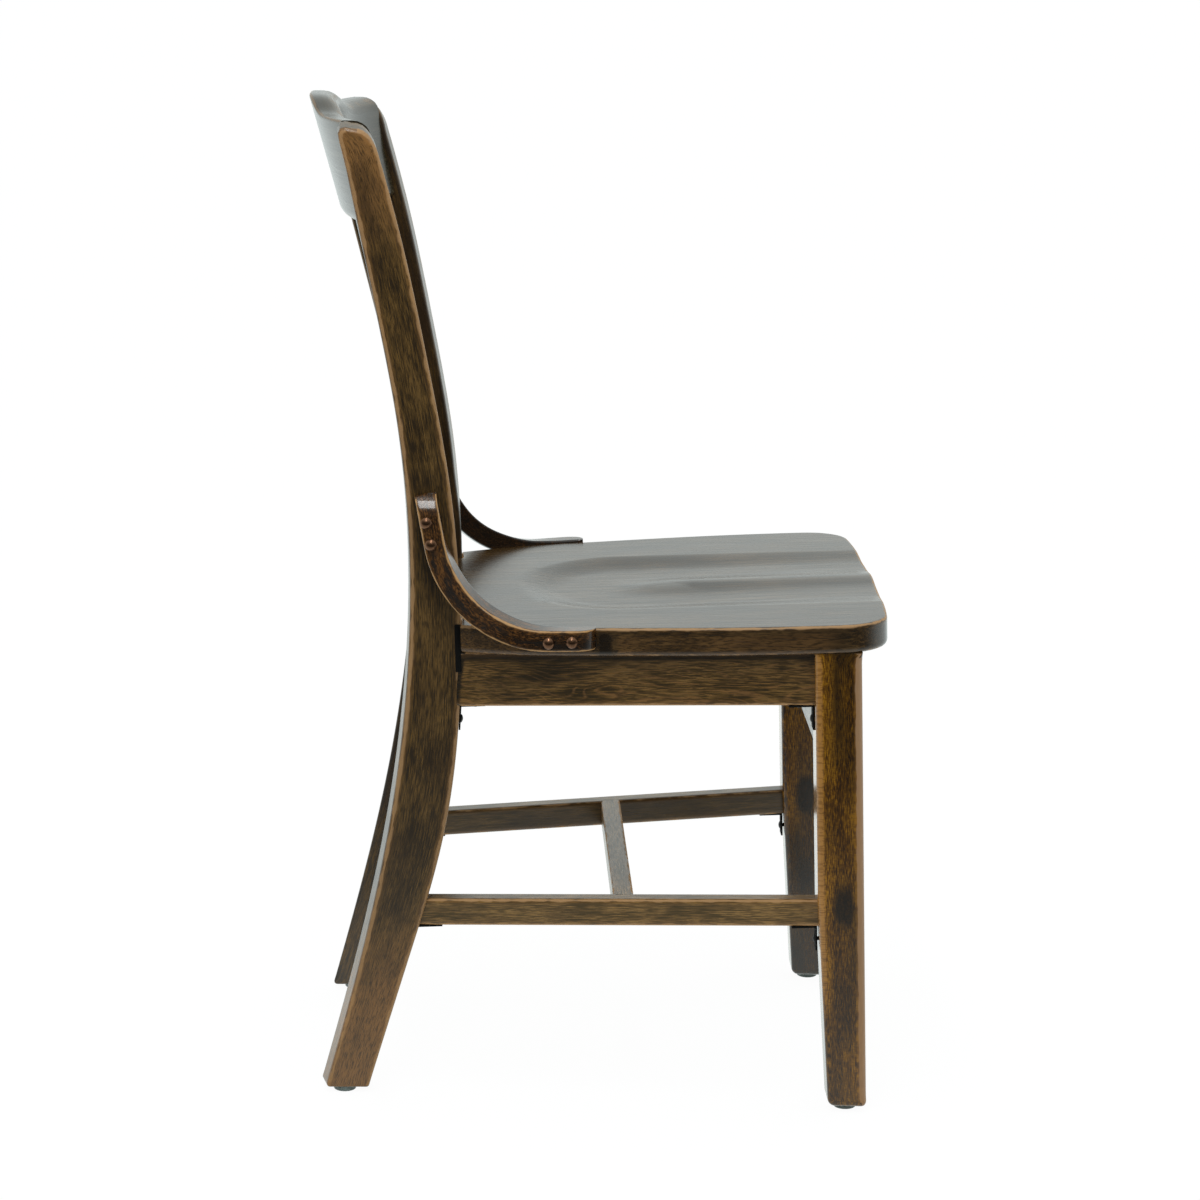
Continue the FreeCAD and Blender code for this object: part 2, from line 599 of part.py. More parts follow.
def build():
    os.makedirs("parts", exist_ok=True)
    seat = make_seat()
    post = make_post()
    leg = make_front_leg()
    crest = make_crest()
    low_rail = make_low_rail()
    slats = {"back_slat_left": make_slat(SLAT_SPACING), "back_slat_centre": make_slat(0.0),
             "back_slat_right": make_slat(-SLAT_SPACING)}
    apron = butted(make_side_rail(-SEAT_THICK, APRON_LOW_H))
    stretcher = butted(make_side_rail(STRETCHER_TOP_H, STRETCHER_LOW_H))
    cross = make_cross_stretcher()
    front_apron = make_cross_rail(FRONT_APRON_D, FRONT_APRON_LOW_H, LEG_INNER)
    rear_apron = make_cross_rail(REAR_APRON_D, APRON_LOW_H, POST_INNER)
    brace = make_brace().cut(post).cut(seat)
    bolts = [make_bolt(y, z) for y, z in BRACE_BOLTS]

    # Angle brackets in the corners under the rails
    back = tipped_vector(1, 0)
    ahead = back * -1
    below = tipped_vector(0, -1)
    apron_post = post_front_at(tipped_point(0, APRON_POST_D, APRON_LOW_H).z)
    stretcher_post = post_front_at(tipped_point(0, STRETCHER_POST_D, STRETCHER_LOW_H).z)
    post_x = (POST_INNER + POST_OUTER) / 2
    leg_rail_x = rail_x(LEG_REAR_D)
    corners = {
        "apron_bracket_rear": (apron_post[0] + LEFT * post_x, ahead, apron_post[1]),
        "stretcher_bracket_rear": (stretcher_post[0] + LEFT * post_x, ahead, stretcher_post[1]),
        "apron_bracket_front": (tipped_point(leg_rail_x, LEG_REAR_D, APRON_LOW_H), back, below),
        "stretcher_bracket_front": (tipped_point(leg_rail_x, LEG_REAR_D, STRETCHER_LOW_H), back, below),
    }
    let_in = {"stretcher_bracket_rear": BRACKET_LET_IN}
    seat_plate, plate_screw = make_seat_plate(post)
    brackets = {}
    bracket_screws = [plate_screw]
    for name, (corner, along_rail, along_upright) in corners.items():
        angle, screws = make_bracket(corner, along_rail, along_upright, let_in.get(name, 0.0))
        brackets[name] = without(angle, [leg, apron, stretcher])
        bracket_screws += screws
    brackets["apron_bracket_rear"] = without(brackets["apron_bracket_rear"], [post])

    # Glides
    front_glide, front_nail = make_glide(GLIDE_FRONT)
    rear_glide, rear_nail = make_glide(GLIDE_REAR)

    # Dowels in the blind bores between the pieces
    crest_mid = CREST_REAR_Y - CREST_THICK / 2 - CREST_BOW + CREST_DOWEL_BACK
    crest_dowels = [cross_dowel(CREST_DOWEL_X, crest_mid + CREST_LEAN * (z - CREST_LOW_Z), z,
                                CREST_DOWEL_LENGTH)
                    for z in CREST_DOWEL_Z]
    low_rail_mid = sum(LOW_RAIL_Z) / 2
    low_rail_dowels = [cross_dowel(POST_DOWEL_X, LOW_RAIL_Y + LOW_RAIL_LEAN * dz, low_rail_mid + dz)
                       for dz in LOW_RAIL_DOWEL_DZ]
    rear_d = sum(REAR_APRON_D) / 2
    rear_at = [tipped_point(0, rear_d, h) for h in REAR_APRON_DOWEL_H]
    rear_apron_dowels = [cross_dowel(POST_DOWEL_X, point.y, point.z) for point in rear_at]
    front_d = sum(FRONT_APRON_D) / 2
    front_at = [tipped_point(0, front_d, h) for h in FRONT_APRON_DOWEL_H]
    leg_x = LEG_INNER + DOWEL_LENGTH / 2
    front_apron_dowels = [cross_dowel(leg_x, point.y, point.z) for point in front_at]
    side_apron_dowels = [rail_dowel(d, h, DOWEL_R) for d in SIDE_APRON_DOWEL_D for h in SIDE_APRON_DOWEL_H]
    stretcher_dowels = [rail_dowel(d, STRETCHER_DOWEL_H, DOWEL_R) for d in STRETCHER_DOWEL_D]
    cross_x = rail_x(CROSS_D) - RAIL_THICK / 2 + CROSS_DOWEL_BITE
    cross_at = tipped_point(cross_x, CROSS_D, (STRETCHER_TOP_H + STRETCHER_LOW_H) / 2)
    cross_dowels = [Part.makeCylinder(CROSS_DOWEL_R, DOWEL_LENGTH, cross_at, LEFT * -1)]

    # Seat screws
    side_screws = [make_seat_screw(rail_x(d), d, APRON_LOW_H) for d in SEAT_SCREW_SIDE_D]
    front_screws = [make_seat_screw(SEAT_SCREW_FRONT_X, front_d, FRONT_APRON_LOW_H)]
    seat_screws = [screw for screw, pocket in side_screws + front_screws]
    side_pockets = [pocket for screw, pocket in side_screws]
    front_pockets = [pocket for screw, pocket in front_screws]

    # Every piece gets the bores for what goes into it
    seat = without(seat, both(bolts + seat_screws))
    brace = without(brace, bolts)
    post = without(post, bolts + bracket_screws + crest_dowels + low_rail_dowels + rear_apron_dowels
                   + side_apron_dowels + stretcher_dowels + [rear_nail, brackets["stretcher_bracket_rear"]])
    leg = without(leg, bracket_screws + front_apron_dowels + side_apron_dowels
                  + stretcher_dowels + [front_nail])
    crest = without(crest, list(slats.values()) + both(crest_dowels))
    low_rail = without(low_rail, list(slats.values()) + both(low_rail_dowels))
    apron = without(apron, [seat_plate] + side_apron_dowels + bracket_screws + seat_screws + side_pockets)
    seat_plate = without(seat_plate, [plate_screw] + side_apron_dowels)
    stretcher = without(stretcher, stretcher_dowels + bracket_screws + cross_dowels)
    cross = without(cross, both(cross_dowels))
    front_apron = without(front_apron, both(front_apron_dowels + seat_screws + front_pockets))
    rear_apron = without(rear_apron, both(rear_apron_dowels))

    save("seat", [seat])
    save_pair("back_post", post)
    save_pair("front_leg", leg)
    save("crest_rail", [crest])
    save("lower_back_rail", [low_rail])
    for name, slat in slats.items():
        save(name, [slat])
    save_pair("side_apron", apron)
    save("front_apron", [front_apron])
    save("rear_apron", [rear_apron])
    save_pair("side_stretcher", stretcher)
    save("cross_stretcher", [cross])
    save_pair("hip_brace", brace)
    save("hip_brace_bolts_left", bolts)
    save("hip_brace_bolts_right", [mirrored(bolt) for bolt in bolts])
    for name, angle in brackets.items():
        save_pair(name, angle)
    save_pair("seat_plate", seat_plate)
    save("bracket_screws", both(bracket_screws))
    save_pair("glide_front", front_glide)
    save_pair("glide_rear", rear_glide)
    save("glide_nails", both([front_nail, rear_nail]))
    save("crest_dowels", both(crest_dowels))
    save("lower_back_rail_dowels", both(low_rail_dowels))
    save("rear_apron_dowels", both(rear_apron_dowels))
    save("front_apron_dowels", both(front_apron_dowels))
    save("side_apron_dowels", both(side_apron_dowels))
    save("side_stretcher_dowels", both(stretcher_dowels))
    save("cross_stretcher_dowels", both(cross_dowels))
    save("seat_screws", both(seat_screws))


build()
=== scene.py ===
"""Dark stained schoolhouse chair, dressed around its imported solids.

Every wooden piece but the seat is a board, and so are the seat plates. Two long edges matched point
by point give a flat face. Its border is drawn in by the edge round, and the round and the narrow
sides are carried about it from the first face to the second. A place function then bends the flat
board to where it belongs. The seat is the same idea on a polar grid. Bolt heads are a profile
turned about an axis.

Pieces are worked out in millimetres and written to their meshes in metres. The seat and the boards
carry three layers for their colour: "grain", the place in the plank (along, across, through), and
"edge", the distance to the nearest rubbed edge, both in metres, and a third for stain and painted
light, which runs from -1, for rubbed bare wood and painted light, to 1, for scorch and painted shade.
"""
import math

import bmesh
import bpy
import numpy as np
from mathutils import Matrix


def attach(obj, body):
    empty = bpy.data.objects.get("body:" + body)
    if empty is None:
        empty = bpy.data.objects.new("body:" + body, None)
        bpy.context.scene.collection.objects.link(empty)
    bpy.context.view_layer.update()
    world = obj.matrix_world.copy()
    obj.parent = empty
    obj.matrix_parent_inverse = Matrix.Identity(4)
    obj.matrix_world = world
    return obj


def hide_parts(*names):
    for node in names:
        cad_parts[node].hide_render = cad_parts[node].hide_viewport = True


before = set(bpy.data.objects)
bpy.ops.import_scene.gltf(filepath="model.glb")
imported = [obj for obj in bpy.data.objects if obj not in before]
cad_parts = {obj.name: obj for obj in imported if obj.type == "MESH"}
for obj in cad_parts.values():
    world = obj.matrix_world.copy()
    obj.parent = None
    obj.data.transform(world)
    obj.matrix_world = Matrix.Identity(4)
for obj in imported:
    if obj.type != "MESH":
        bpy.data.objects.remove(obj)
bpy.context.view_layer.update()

MM = 0.001

# Camera, fitted to the photograph's edges: place in metres, angles in degrees, lens in millimetres
CAMERA_AT = (-3.39571, 0.11574, 1.14901)
CAMERA_YAW = -2.09
CAMERA_PITCH = 11.93
CAMERA_ROLL = -0.93
CAMERA_LENS = 110.4
SENSOR = 36.0

# Stage, in metres and watts: the sweep's lit part fades out between two distances towards the camera
FLOOR_REACH = 40.0
FLOOR_WHITE = "#EDEDED"
STUDIO_TINT = (0.92, 1.0, 0.99, 1.0)
SWEEP_END = (-1.3, 0.1)
SWEEP_LIGHT = 1.4
SWEEP_SEEN = 1.02
SWEEP_SHARE = 0.94
# The surround fades from dim to full between two slants of a ray, backwards and upwards
SURROUND_DIM = 0.18
SURROUND_FULL = 1.05
SURROUND_BEHIND = (-0.55, 0.35)
SURROUND_ABOVE = (0.25, 0.85)
LAMP_AT = (-0.94, 0.15, 2.19)
LAMP_SIZE = (1.6, 0.16)
LAMP_TURN = math.radians(-25.0)
LAMP_WATTS = 13.0

# From here on in millimetres. The square frame of seat, legs and rails is tipped back about the seat's
# front edge: in it x runs across the chair, d back from that edge and h up. Other places are y and z.
SEAT_HEIGHT = 458.0
SEAT_FRONT_Y = -265.0
TILT = math.radians(2.25)

# Seat: half of its outline, the corner cut out for the post, and the hollow with the ridge in its middle
SEAT_THICK = 26.0
SEAT_TOP_ROUND = 3.0
SEAT_LOW_ROUND = 5.0
SEAT_EDGE = [(170.5, 388.4), (185.0, 350.0), (201.5, 263.0), (214.0, 168.0), (219.5, 57.0), (216.2, 32.0),
             (206.6, 17.9), (192.3, 8.3), (172.0, 4.7), (100.0, 1.6)]
SEAT_NOTCH = [(139.5, 388.4), (139.5, 412.0)]
SEAT_CENTRE = (0.0, 190.0)
SEAT_EDGE_STEPS = 420
SEAT_REAR_STEPS = 9
SEAT_TOP_RINGS = 90
SEAT_LOW_RINGS = 12
SCOOP_DEPTH = 6.5
SCOOP_LIP = 0.4
SCOOP_FADE_H = 9.0
SCOOP_FRONT_FADE = 0.4
SCOOP_HALF_WIDTH = 103.0
SCOOP_WALL = 56.0
SCOOP_STRAIGHT_D = 235.0
SCOOP_REAR_D = 318.0
RIDGE_SHARE = 0.85
RIDGE_HALF_WIDTH = 26.0
RIDGE_REAR_D = 260.0
RIDGE_FADE = 90.0

# Back posts: both edges seen from the side, the heights at which they are tabled, how far the faces turn,
# and the slope of the top
POST_INNER = 141.0
POST_OUTER = 165.0
POST_REAR = [(248.5, 5.0), (224.0, 98.0), (190.5, 252.0), (172.5, 405.0), (170.5, 485.0),
             (181.5, 623.0), (202.0, 730.0), (234.5, 882.0)]
POST_FRONT = [(204.0, 5.0), (168.0, 127.0), (137.0, 243.0), (124.0, 345.0), (122.8, 450.0),
              (131.0, 555.0), (152.5, 675.0), (178.0, 791.0), (196.0, 857.0)]
POST_TOP_FRONT = [(196.0, 857.0), (202.5, 876.9), (214.0, 887.6), (221.8, 888.6)]
POST_TOP_REAR = [(234.5, 882.0), (233.6, 887.8), (230.0, 889.6), (222.2, 888.7)]
POST_FRONT_STEPS = (150, 24)
POST_REAR_STEPS = (160, 14)
POST_ROWS = 170
POST_TABLE_STEPS = 300
POST_TABLE_Z = 900.0
POST_TABLE_TOP = 880.0
POST_ROUNDS = (3.5, 3.0)
POST_TOP_ROUND = 4.5
POST_TOP_ROUND_RUN = (45.0, 0.0)
POST_FOOT_CORNERS = (2.0, 4.5)
POST_TURN_FOOT = 5.5
POST_TURN_TOP = 1.0
POST_TURN_END_Z = 700.0
POST_FRONT_TURN = 2.8
POST_FRONT_TURN_Z = (470.0, 530.0)
POST_TOP_SLOPE = 5.0
POST_SLOPE_Z = (845.0, 885.0)

# Front legs: straight in front, tapered behind from below the stretcher to the glide
GLIDE_HEIGHT = 5.0
LEG_INNER = 177.0
LEG_OUTER = 215.0
LEG_FRONT_D = 31.0
LEG_REAR_D = 73.5
LEG_FOOT_REAR_D = 66.5
LEG_TAPER_H = -255.0
LEG_ROWS = 80
LEG_ROUNDS = (9.0, 4.0)
LEG_FOOT_CORNERS = (5.0, 7.0)

# Rails and seat plates: the side rails close in along a line, and rails run a little into what holds them
RAIL_THICK = 20.0
RAIL_LINE_X = 196.0
RAIL_LINE_D = 52.0
RAIL_TAPER = 0.12
RAIL_ROWS = 60
RAIL_INTO_LEG = 4.0
RAIL_INTO_POST = 3.0
RAIL_OFF_POST = 0.4
APRON_START_D = 70.0
APRON_END_D = (390.0, 395.0)
APRON_H = (-26.0, -76.0)
PLATE_X = (144.5, 166.0)
PLATE_D = (388.5, 393.7)
PLATE_H = (-0.5, -44.0)
PLATE_ROWS = 20
PLATE_ROUNDS = (0.4, 0.4)
STRETCHER_D = (66.0, 446.0)
STRETCHER_H = (-257.0, -282.0)
CROSS_D = (238.0, 257.0)
FRONT_APRON_D = (51.7, 71.7)
FRONT_APRON_LOW_H = -119.0
REAR_APRON_D = (395.0, 415.0)

# Crest: its rear face leans and bows, and its thickness swells from the lower edge up to a most
CREST_LOW_Z = 796.0
CREST_END_Z = 889.5
CREST_RISE = 14.5
CREST_HUMP = 58.0
CREST_LEAN = 0.285
CREST_BOW = 28.8
CREST_THICK = 22.9
CREST_REAR_Y = 235.0
CREST_LOW_THICK = 17.0
CREST_SWELL = 7.0
CREST_SWELL_Z = 85.0
CREST_MOST_THICK = 24.5
CREST_ROWS = 150
CREST_INTO_POST = 0.5

# Lower back rail and slats: the slats' heads stand forward in the crest and turn with a share of its bow
LOW_RAIL_Z = (520.0, 560.0)
LOW_RAIL_Y = 158.0
LOW_RAIL_LEAN = 0.2
LOW_RAIL_THICK = 20.0
SLAT_SPACING = 84.0
SLAT_WIDTH = 42.0
SLAT_THICK = 8.0
SLAT_FORWARD = 3.0
SLAT_TURN = 0.85
SLAT_INTO_RAIL = 8.0
BACK_ROWS = 50

# Hip braces: ends and corner of the centre line, the inner face in plan as (x, y), and the bolts' places
BRACE_TOP = (155.0, 562.0)
BRACE_CORNER = (130.5, 434.0)
BRACE_TIP = (2.0, 440.5)
BRACE_BEND = 97.0
BRACE_FACE = 19.0
BRACE_THICK = 21.0
BRACE_ROUNDS = (2.2, 2.2)
BRACE_PLAN = [(201.9, -2.0), (198.6, 24.0), (194.0, 52.0), (186.0, 85.0), (175.5, 116.0), (165.0, 150.0)]
BRACE_PLAN_STEPS = 200
BRACE_BEND_STEPS = 60
BRACE_END_STEPS = 20
BRACE_ROWS = 130
BRACE_NOSE = 18.0
BRACE_TWIST = 4.5
BRACE_TWIST_Z = (545.0, 485.0)
BRACE_TWIST_Y = (20.0, 90.0)
BRACE_BOLTS = [(154.0, 538.5), (149.5, 519.0), (44.5, 437.0), (24.0, 438.7)]
# Bolt heads: shank and collar as radius and height, and the small flat end that closes the profile
BOLT_HEAD_R = 5.4
BOLT_HEAD_H = 3.6
BOLT_CAP_SHARE = 0.9
BOLT_STAND = 0.4
BOLT_SHANK = (3.0, -6.0)
BOLT_COLLAR = (5.2, -0.4)
BOLT_POLE = 0.02
BOLT_DOME_STEPS = 14
BOLT_TURN_STEPS = 40

# Marks in the stain and in its painted light and shade: a strength on its scale, where the mark starts
# and where it is full. A pair gives only the last two. A spot on a leg is its strength, its place along,
# and its reach along and across.
SEAT_SIDE_H = (-2.0, -8.0)
SEAT_SIDE_RUB = 0.3
SEAT_FRONT_D = (70.0, 0.0)
# A painted shadow on the seat's side beside the brace tip: its strength, then its place and reach back from
# the front edge
SEAT_TIP_PAINTED_SHADOW = 1.5
SEAT_TIP_D = 260.0
SEAT_TIP_REACH = 7.0
POST_TOP_RUB = (1.05, 160.0, -10.0)
POST_TOP_RUB_THROUGH = (4.0, 1.0)
# Painted light from the floor's bounce, laid as a paler rub that grows towards the posts' feet
POST_FOOT_PAINTED_LIGHT = (0.8, 680.0, 850.0)
POST_DARK = (0.6, 19.0, 23.0)
LEG_STREAK = (0.65, 0.6, 0.25, 0.45, 0.6, 0.3)
LEG_STREAK_ALONG = (0.0, 98.0, 151.0, 204.0, 292.0, 380.0)
LEG_STREAK_ACROSS = (40.0, 26.0)
LEG_SPOTS = ((1.6, 236.0, 24.0, 12.0), (1.0, 322.0, 55.0, 17.0))
LEG_SPOT_ACROSS = 14.0
LEG_DARK = 0.3
LEG_DARK_THROUGH = (30.0, 37.0)
LEG_LOW_DARK = (0.4, 250.0, 290.0)
LEG_BARE = (0.8, 36.5, 42.5)
LEG_BARE_THROUGH = (32.0, 26.0)
# Painted shade on the apron: a band under the seat along its top edge, and its end in the gap at the post
APRON_PAINTED_SHADE = (1.6, 319.0, 321.0)
APRON_PAINTED_SHADE_REACH = 6.0
STRETCHER_DARK = (0.6, 14.0, 18.0)
BRACE_DARK = (0.66, 14.0, 19.0)
BRACE_TIP_DARK = (1.2, 240.0, 248.0)

# Steps of a board: angles of its edge round, shares through its side, and how far in from its border,
# in millimetres and at most as a share of its width. Its end rounds blend in over the last millimetres.
ARC = np.linspace(0.0, math.pi / 2.0, 6)
MID_ROUND = math.pi / 4.0
SIDE = np.array([0.06, 0.16, 0.32, 0.5, 0.68, 0.84, 0.94])
FACE_STEPS = np.array([0.0, 1.5, 4.0, 8.0])
FACE_MOST = 0.4
END_FADE = 9.0
# A leg's last share, where its rows are crowded
FOOT_SHARE = 0.02
FOOT_STEPS = 9
# Spline points for each given one, the least divisor of a miter, a length of nothing, a hard edge's degrees
SPLINE_STEPS = 40
MITER_LEAST = 0.3
TINY = 1e-9
SHARP_ANGLE = 40.0
# A distance past which no edge is rubbed, and how much less the seat's lower and a board's second edge are
FRESH = 30.0
LOW_FRESH = 0.9
SECOND_FRESH = 0.8
# Rings of a flat-sawn board: half their spacing and how far they wander. Each plank's shift in the pattern
RING_HALF = 2.2
RING_WANDER = 90.0
SEED_SHIFT = (733.0, 191.0, 57.0)
# Depth of the streaks' relief, roughness that rubbing adds, and the part of a noise that is spread out
RELIEF = 0.3
RUBBED_DULL = 0.45
NOISE_SPREAD = {"From_Min": 0.3, "From_Max": 0.7}


def smooth(t):
    """Rises from 0 to 1 with level ends as t goes from 0 to 1: 3t squared less 2t cubed."""
    t = np.clip(t, 0.0, 1.0)
    return t * t * (3.0 - 2.0 * t)


def ramp(value, limits):
    """The smooth rise from 0 at the first limit to 1 at the second, which may be the lower one."""
    return smooth((value - limits[0]) / (limits[1] - limits[0]))


def mark(value, strength, start, full):
    """A mark's strength times the ramp from its start to where it is full."""
    return strength * ramp(value, (start, full))


def bell(value, middle, reach):
    """One at the middle, falling as exp of minus the square of the distance over the reach."""
    return np.exp(-((value - middle) / reach) ** 2)


def run_along(points):
    """Distance along a polyline at each of its points."""
    return np.concatenate([[0.0], np.cumsum(np.linalg.norm(np.diff(points, axis=0), axis=1))])


def resample(points, count):
    """A polyline's points again, at even distances along it."""
    return at_shares(points, np.linspace(0.0, 1.0, count))


def at_shares(points, shares):
    """Points at given shares of a polyline's whole length."""
    run = run_along(points)
    return np.stack([np.interp(shares * run[-1], run, column) for column in points.T], axis=1)


def straight(start, end, count):
    """Evenly spaced points on a line: the start plus a growing share of the way to the end."""
    start, end = np.asarray(start, float), np.asarray(end, float)
    return start + np.linspace(0.0, 1.0, count)[:, None] * (end - start)


def curve_through(points, count):
    """Natural cubic spline over chord length: one banded system gives its second derivatives."""
    p = np.asarray(points, float)
    t = run_along(p)
    h = np.diff(t)
    n = len(p)
    inside = np.arange(1, n - 1)
    system = np.eye(n)
    system[inside, inside - 1] = h[:-1]
    system[inside, inside] = 2.0 * (h[:-1] + h[1:])
    system[inside, inside + 1] = h[1:]
    right = np.zeros_like(p)
    right[1:-1] = 6.0 * np.diff(np.diff(p, axis=0) / h[:, None], axis=0)
    bend = np.linalg.solve(system, right)
    u = np.linspace(0.0, t[-1], SPLINE_STEPS * n)
    i = np.clip(np.searchsorted(t, u) - 1, 0, n - 2)
    a = ((t[i + 1] - u) / h[i])[:, None]
    b = ((u - t[i]) / h[i])[:, None]
    sag = (h[i] ** 2 / 6.0)[:, None]
    fine = a * p[i] + b * p[i + 1] + sag * ((a ** 3 - a) * bend[i] + (b ** 3 - b) * bend[i + 1])
    return resample(fine, count)


def tipped(x, d, h):
    """Carries the square frame's (x, d, h) into the chair's frame: a turn about the seat's front edge."""
    y = SEAT_FRONT_Y + d * math.cos(TILT) + h * math.sin(TILT)
    z = SEAT_HEIGHT - d * math.sin(TILT) + h * math.cos(TILT)
    return np.stack(np.broadcast_arrays(x, y, z), axis=-1)


def rail_x(d):
    """Centre line of the side rails in plan: a straight line that closes in towards the back."""
    return RAIL_LINE_X - RAIL_TAPER * (d - RAIL_LINE_D)


def scoop(x, d):
    """Depth of the seat's hollow: a stadium open at the front, less a bell-shaped ridge in the middle."""
    past = np.maximum(d - SCOOP_STRAIGHT_D, 0.0) / (SCOOP_REAR_D - SCOOP_STRAIGHT_D)
    reach = np.hypot(x, past * SCOOP_HALF_WIDTH)
    bowl = 1.0 - smooth((reach - SCOOP_HALF_WIDTH) / SCOOP_WALL + 0.5)
    ridge = bell(x, 0.0, RIDGE_HALF_WIDTH) * smooth((RIDGE_REAR_D - d) / RIDGE_FADE)
    front = 1.0 - SCOOP_FRONT_FADE * smooth(1.0 - d / SCOOP_STRAIGHT_D)
    return np.maximum(SCOOP_DEPTH * bowl * front * (1.0 - RIDGE_SHARE * ridge) - SCOOP_LIP, 0.0)


# Meshes


def border(grid):
    """The closed border of a grid: up the first column, across, down the last column and back."""
    return np.concatenate([grid[:, 0], grid[-1, 1:-1], grid[::-1, -1], grid[0, -2:0:-1]])


def quads(index):
    """Four-cornered faces between neighbouring rows and columns of an index grid."""
    corners = [index[:-1, :-1], index[1:, :-1], index[1:, 1:], index[:-1, 1:]]
    return np.stack(corners, axis=-1).reshape(-1, 4)


def wrapped(index):
    """An index grid with its first column repeated at the end, so that its rows close into rings."""
    return np.concatenate([index, index[:, :1]], axis=1)


def draw_in(loop):
    """Miter vectors into a closed loop: the sum of its two edge normals over one plus their product."""
    ahead = np.roll(loop, -1, axis=0) - loop
    ahead /= np.maximum(np.linalg.norm(ahead, axis=1, keepdims=True), TINY)
    normal = np.stack([-ahead[:, 1], ahead[:, 0]], axis=1)
    before = np.roll(normal, 1, axis=0)
    divisor = 1.0 + np.sum(normal * before, axis=1, keepdims=True)
    miter = (normal + before) / np.maximum(divisor, MITER_LEAST)
    area = np.sum(loop[:, 0] * np.roll(loop[:, 1], -1) - np.roll(loop[:, 0], -1) * loop[:, 1])
    return miter * np.sign(area)


def put(name, data):
    """A new object of this data, in the scene at the origin."""
    made = bpy.data.objects.new(name, data)
    bpy.context.scene.collection.objects.link(made)
    return made


def lay(name, node, points, faces, finish, slot, **layers):
    """Writes a piece's arrays to a mesh with its attribute layers, faces turned outwards."""
    mesh = bpy.data.meshes.new(name)
    mesh.from_pydata((points * MM).tolist(), [], faces)
    for key, values in layers.items():
        flat = np.asarray(values, np.float32)
        kind = "FLOAT_VECTOR" if flat.ndim == 2 else "FLOAT"
        layer = mesh.attributes.new(key, kind, "POINT")
        layer.data.foreach_set("vector" if flat.ndim == 2 else "value", flat.ravel())
    work = bmesh.new()
    work.from_mesh(mesh)
    bmesh.ops.recalc_face_normals(work, faces=work.faces)
    work.to_mesh(mesh)
    work.free()
    mesh.shade_smooth()
    mesh.set_sharp_from_angle(angle=math.radians(SHARP_ANGLE))
    mesh.materials.append(finish)
    piece = put(name, mesh)
    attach(piece, "root")
    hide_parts(node)


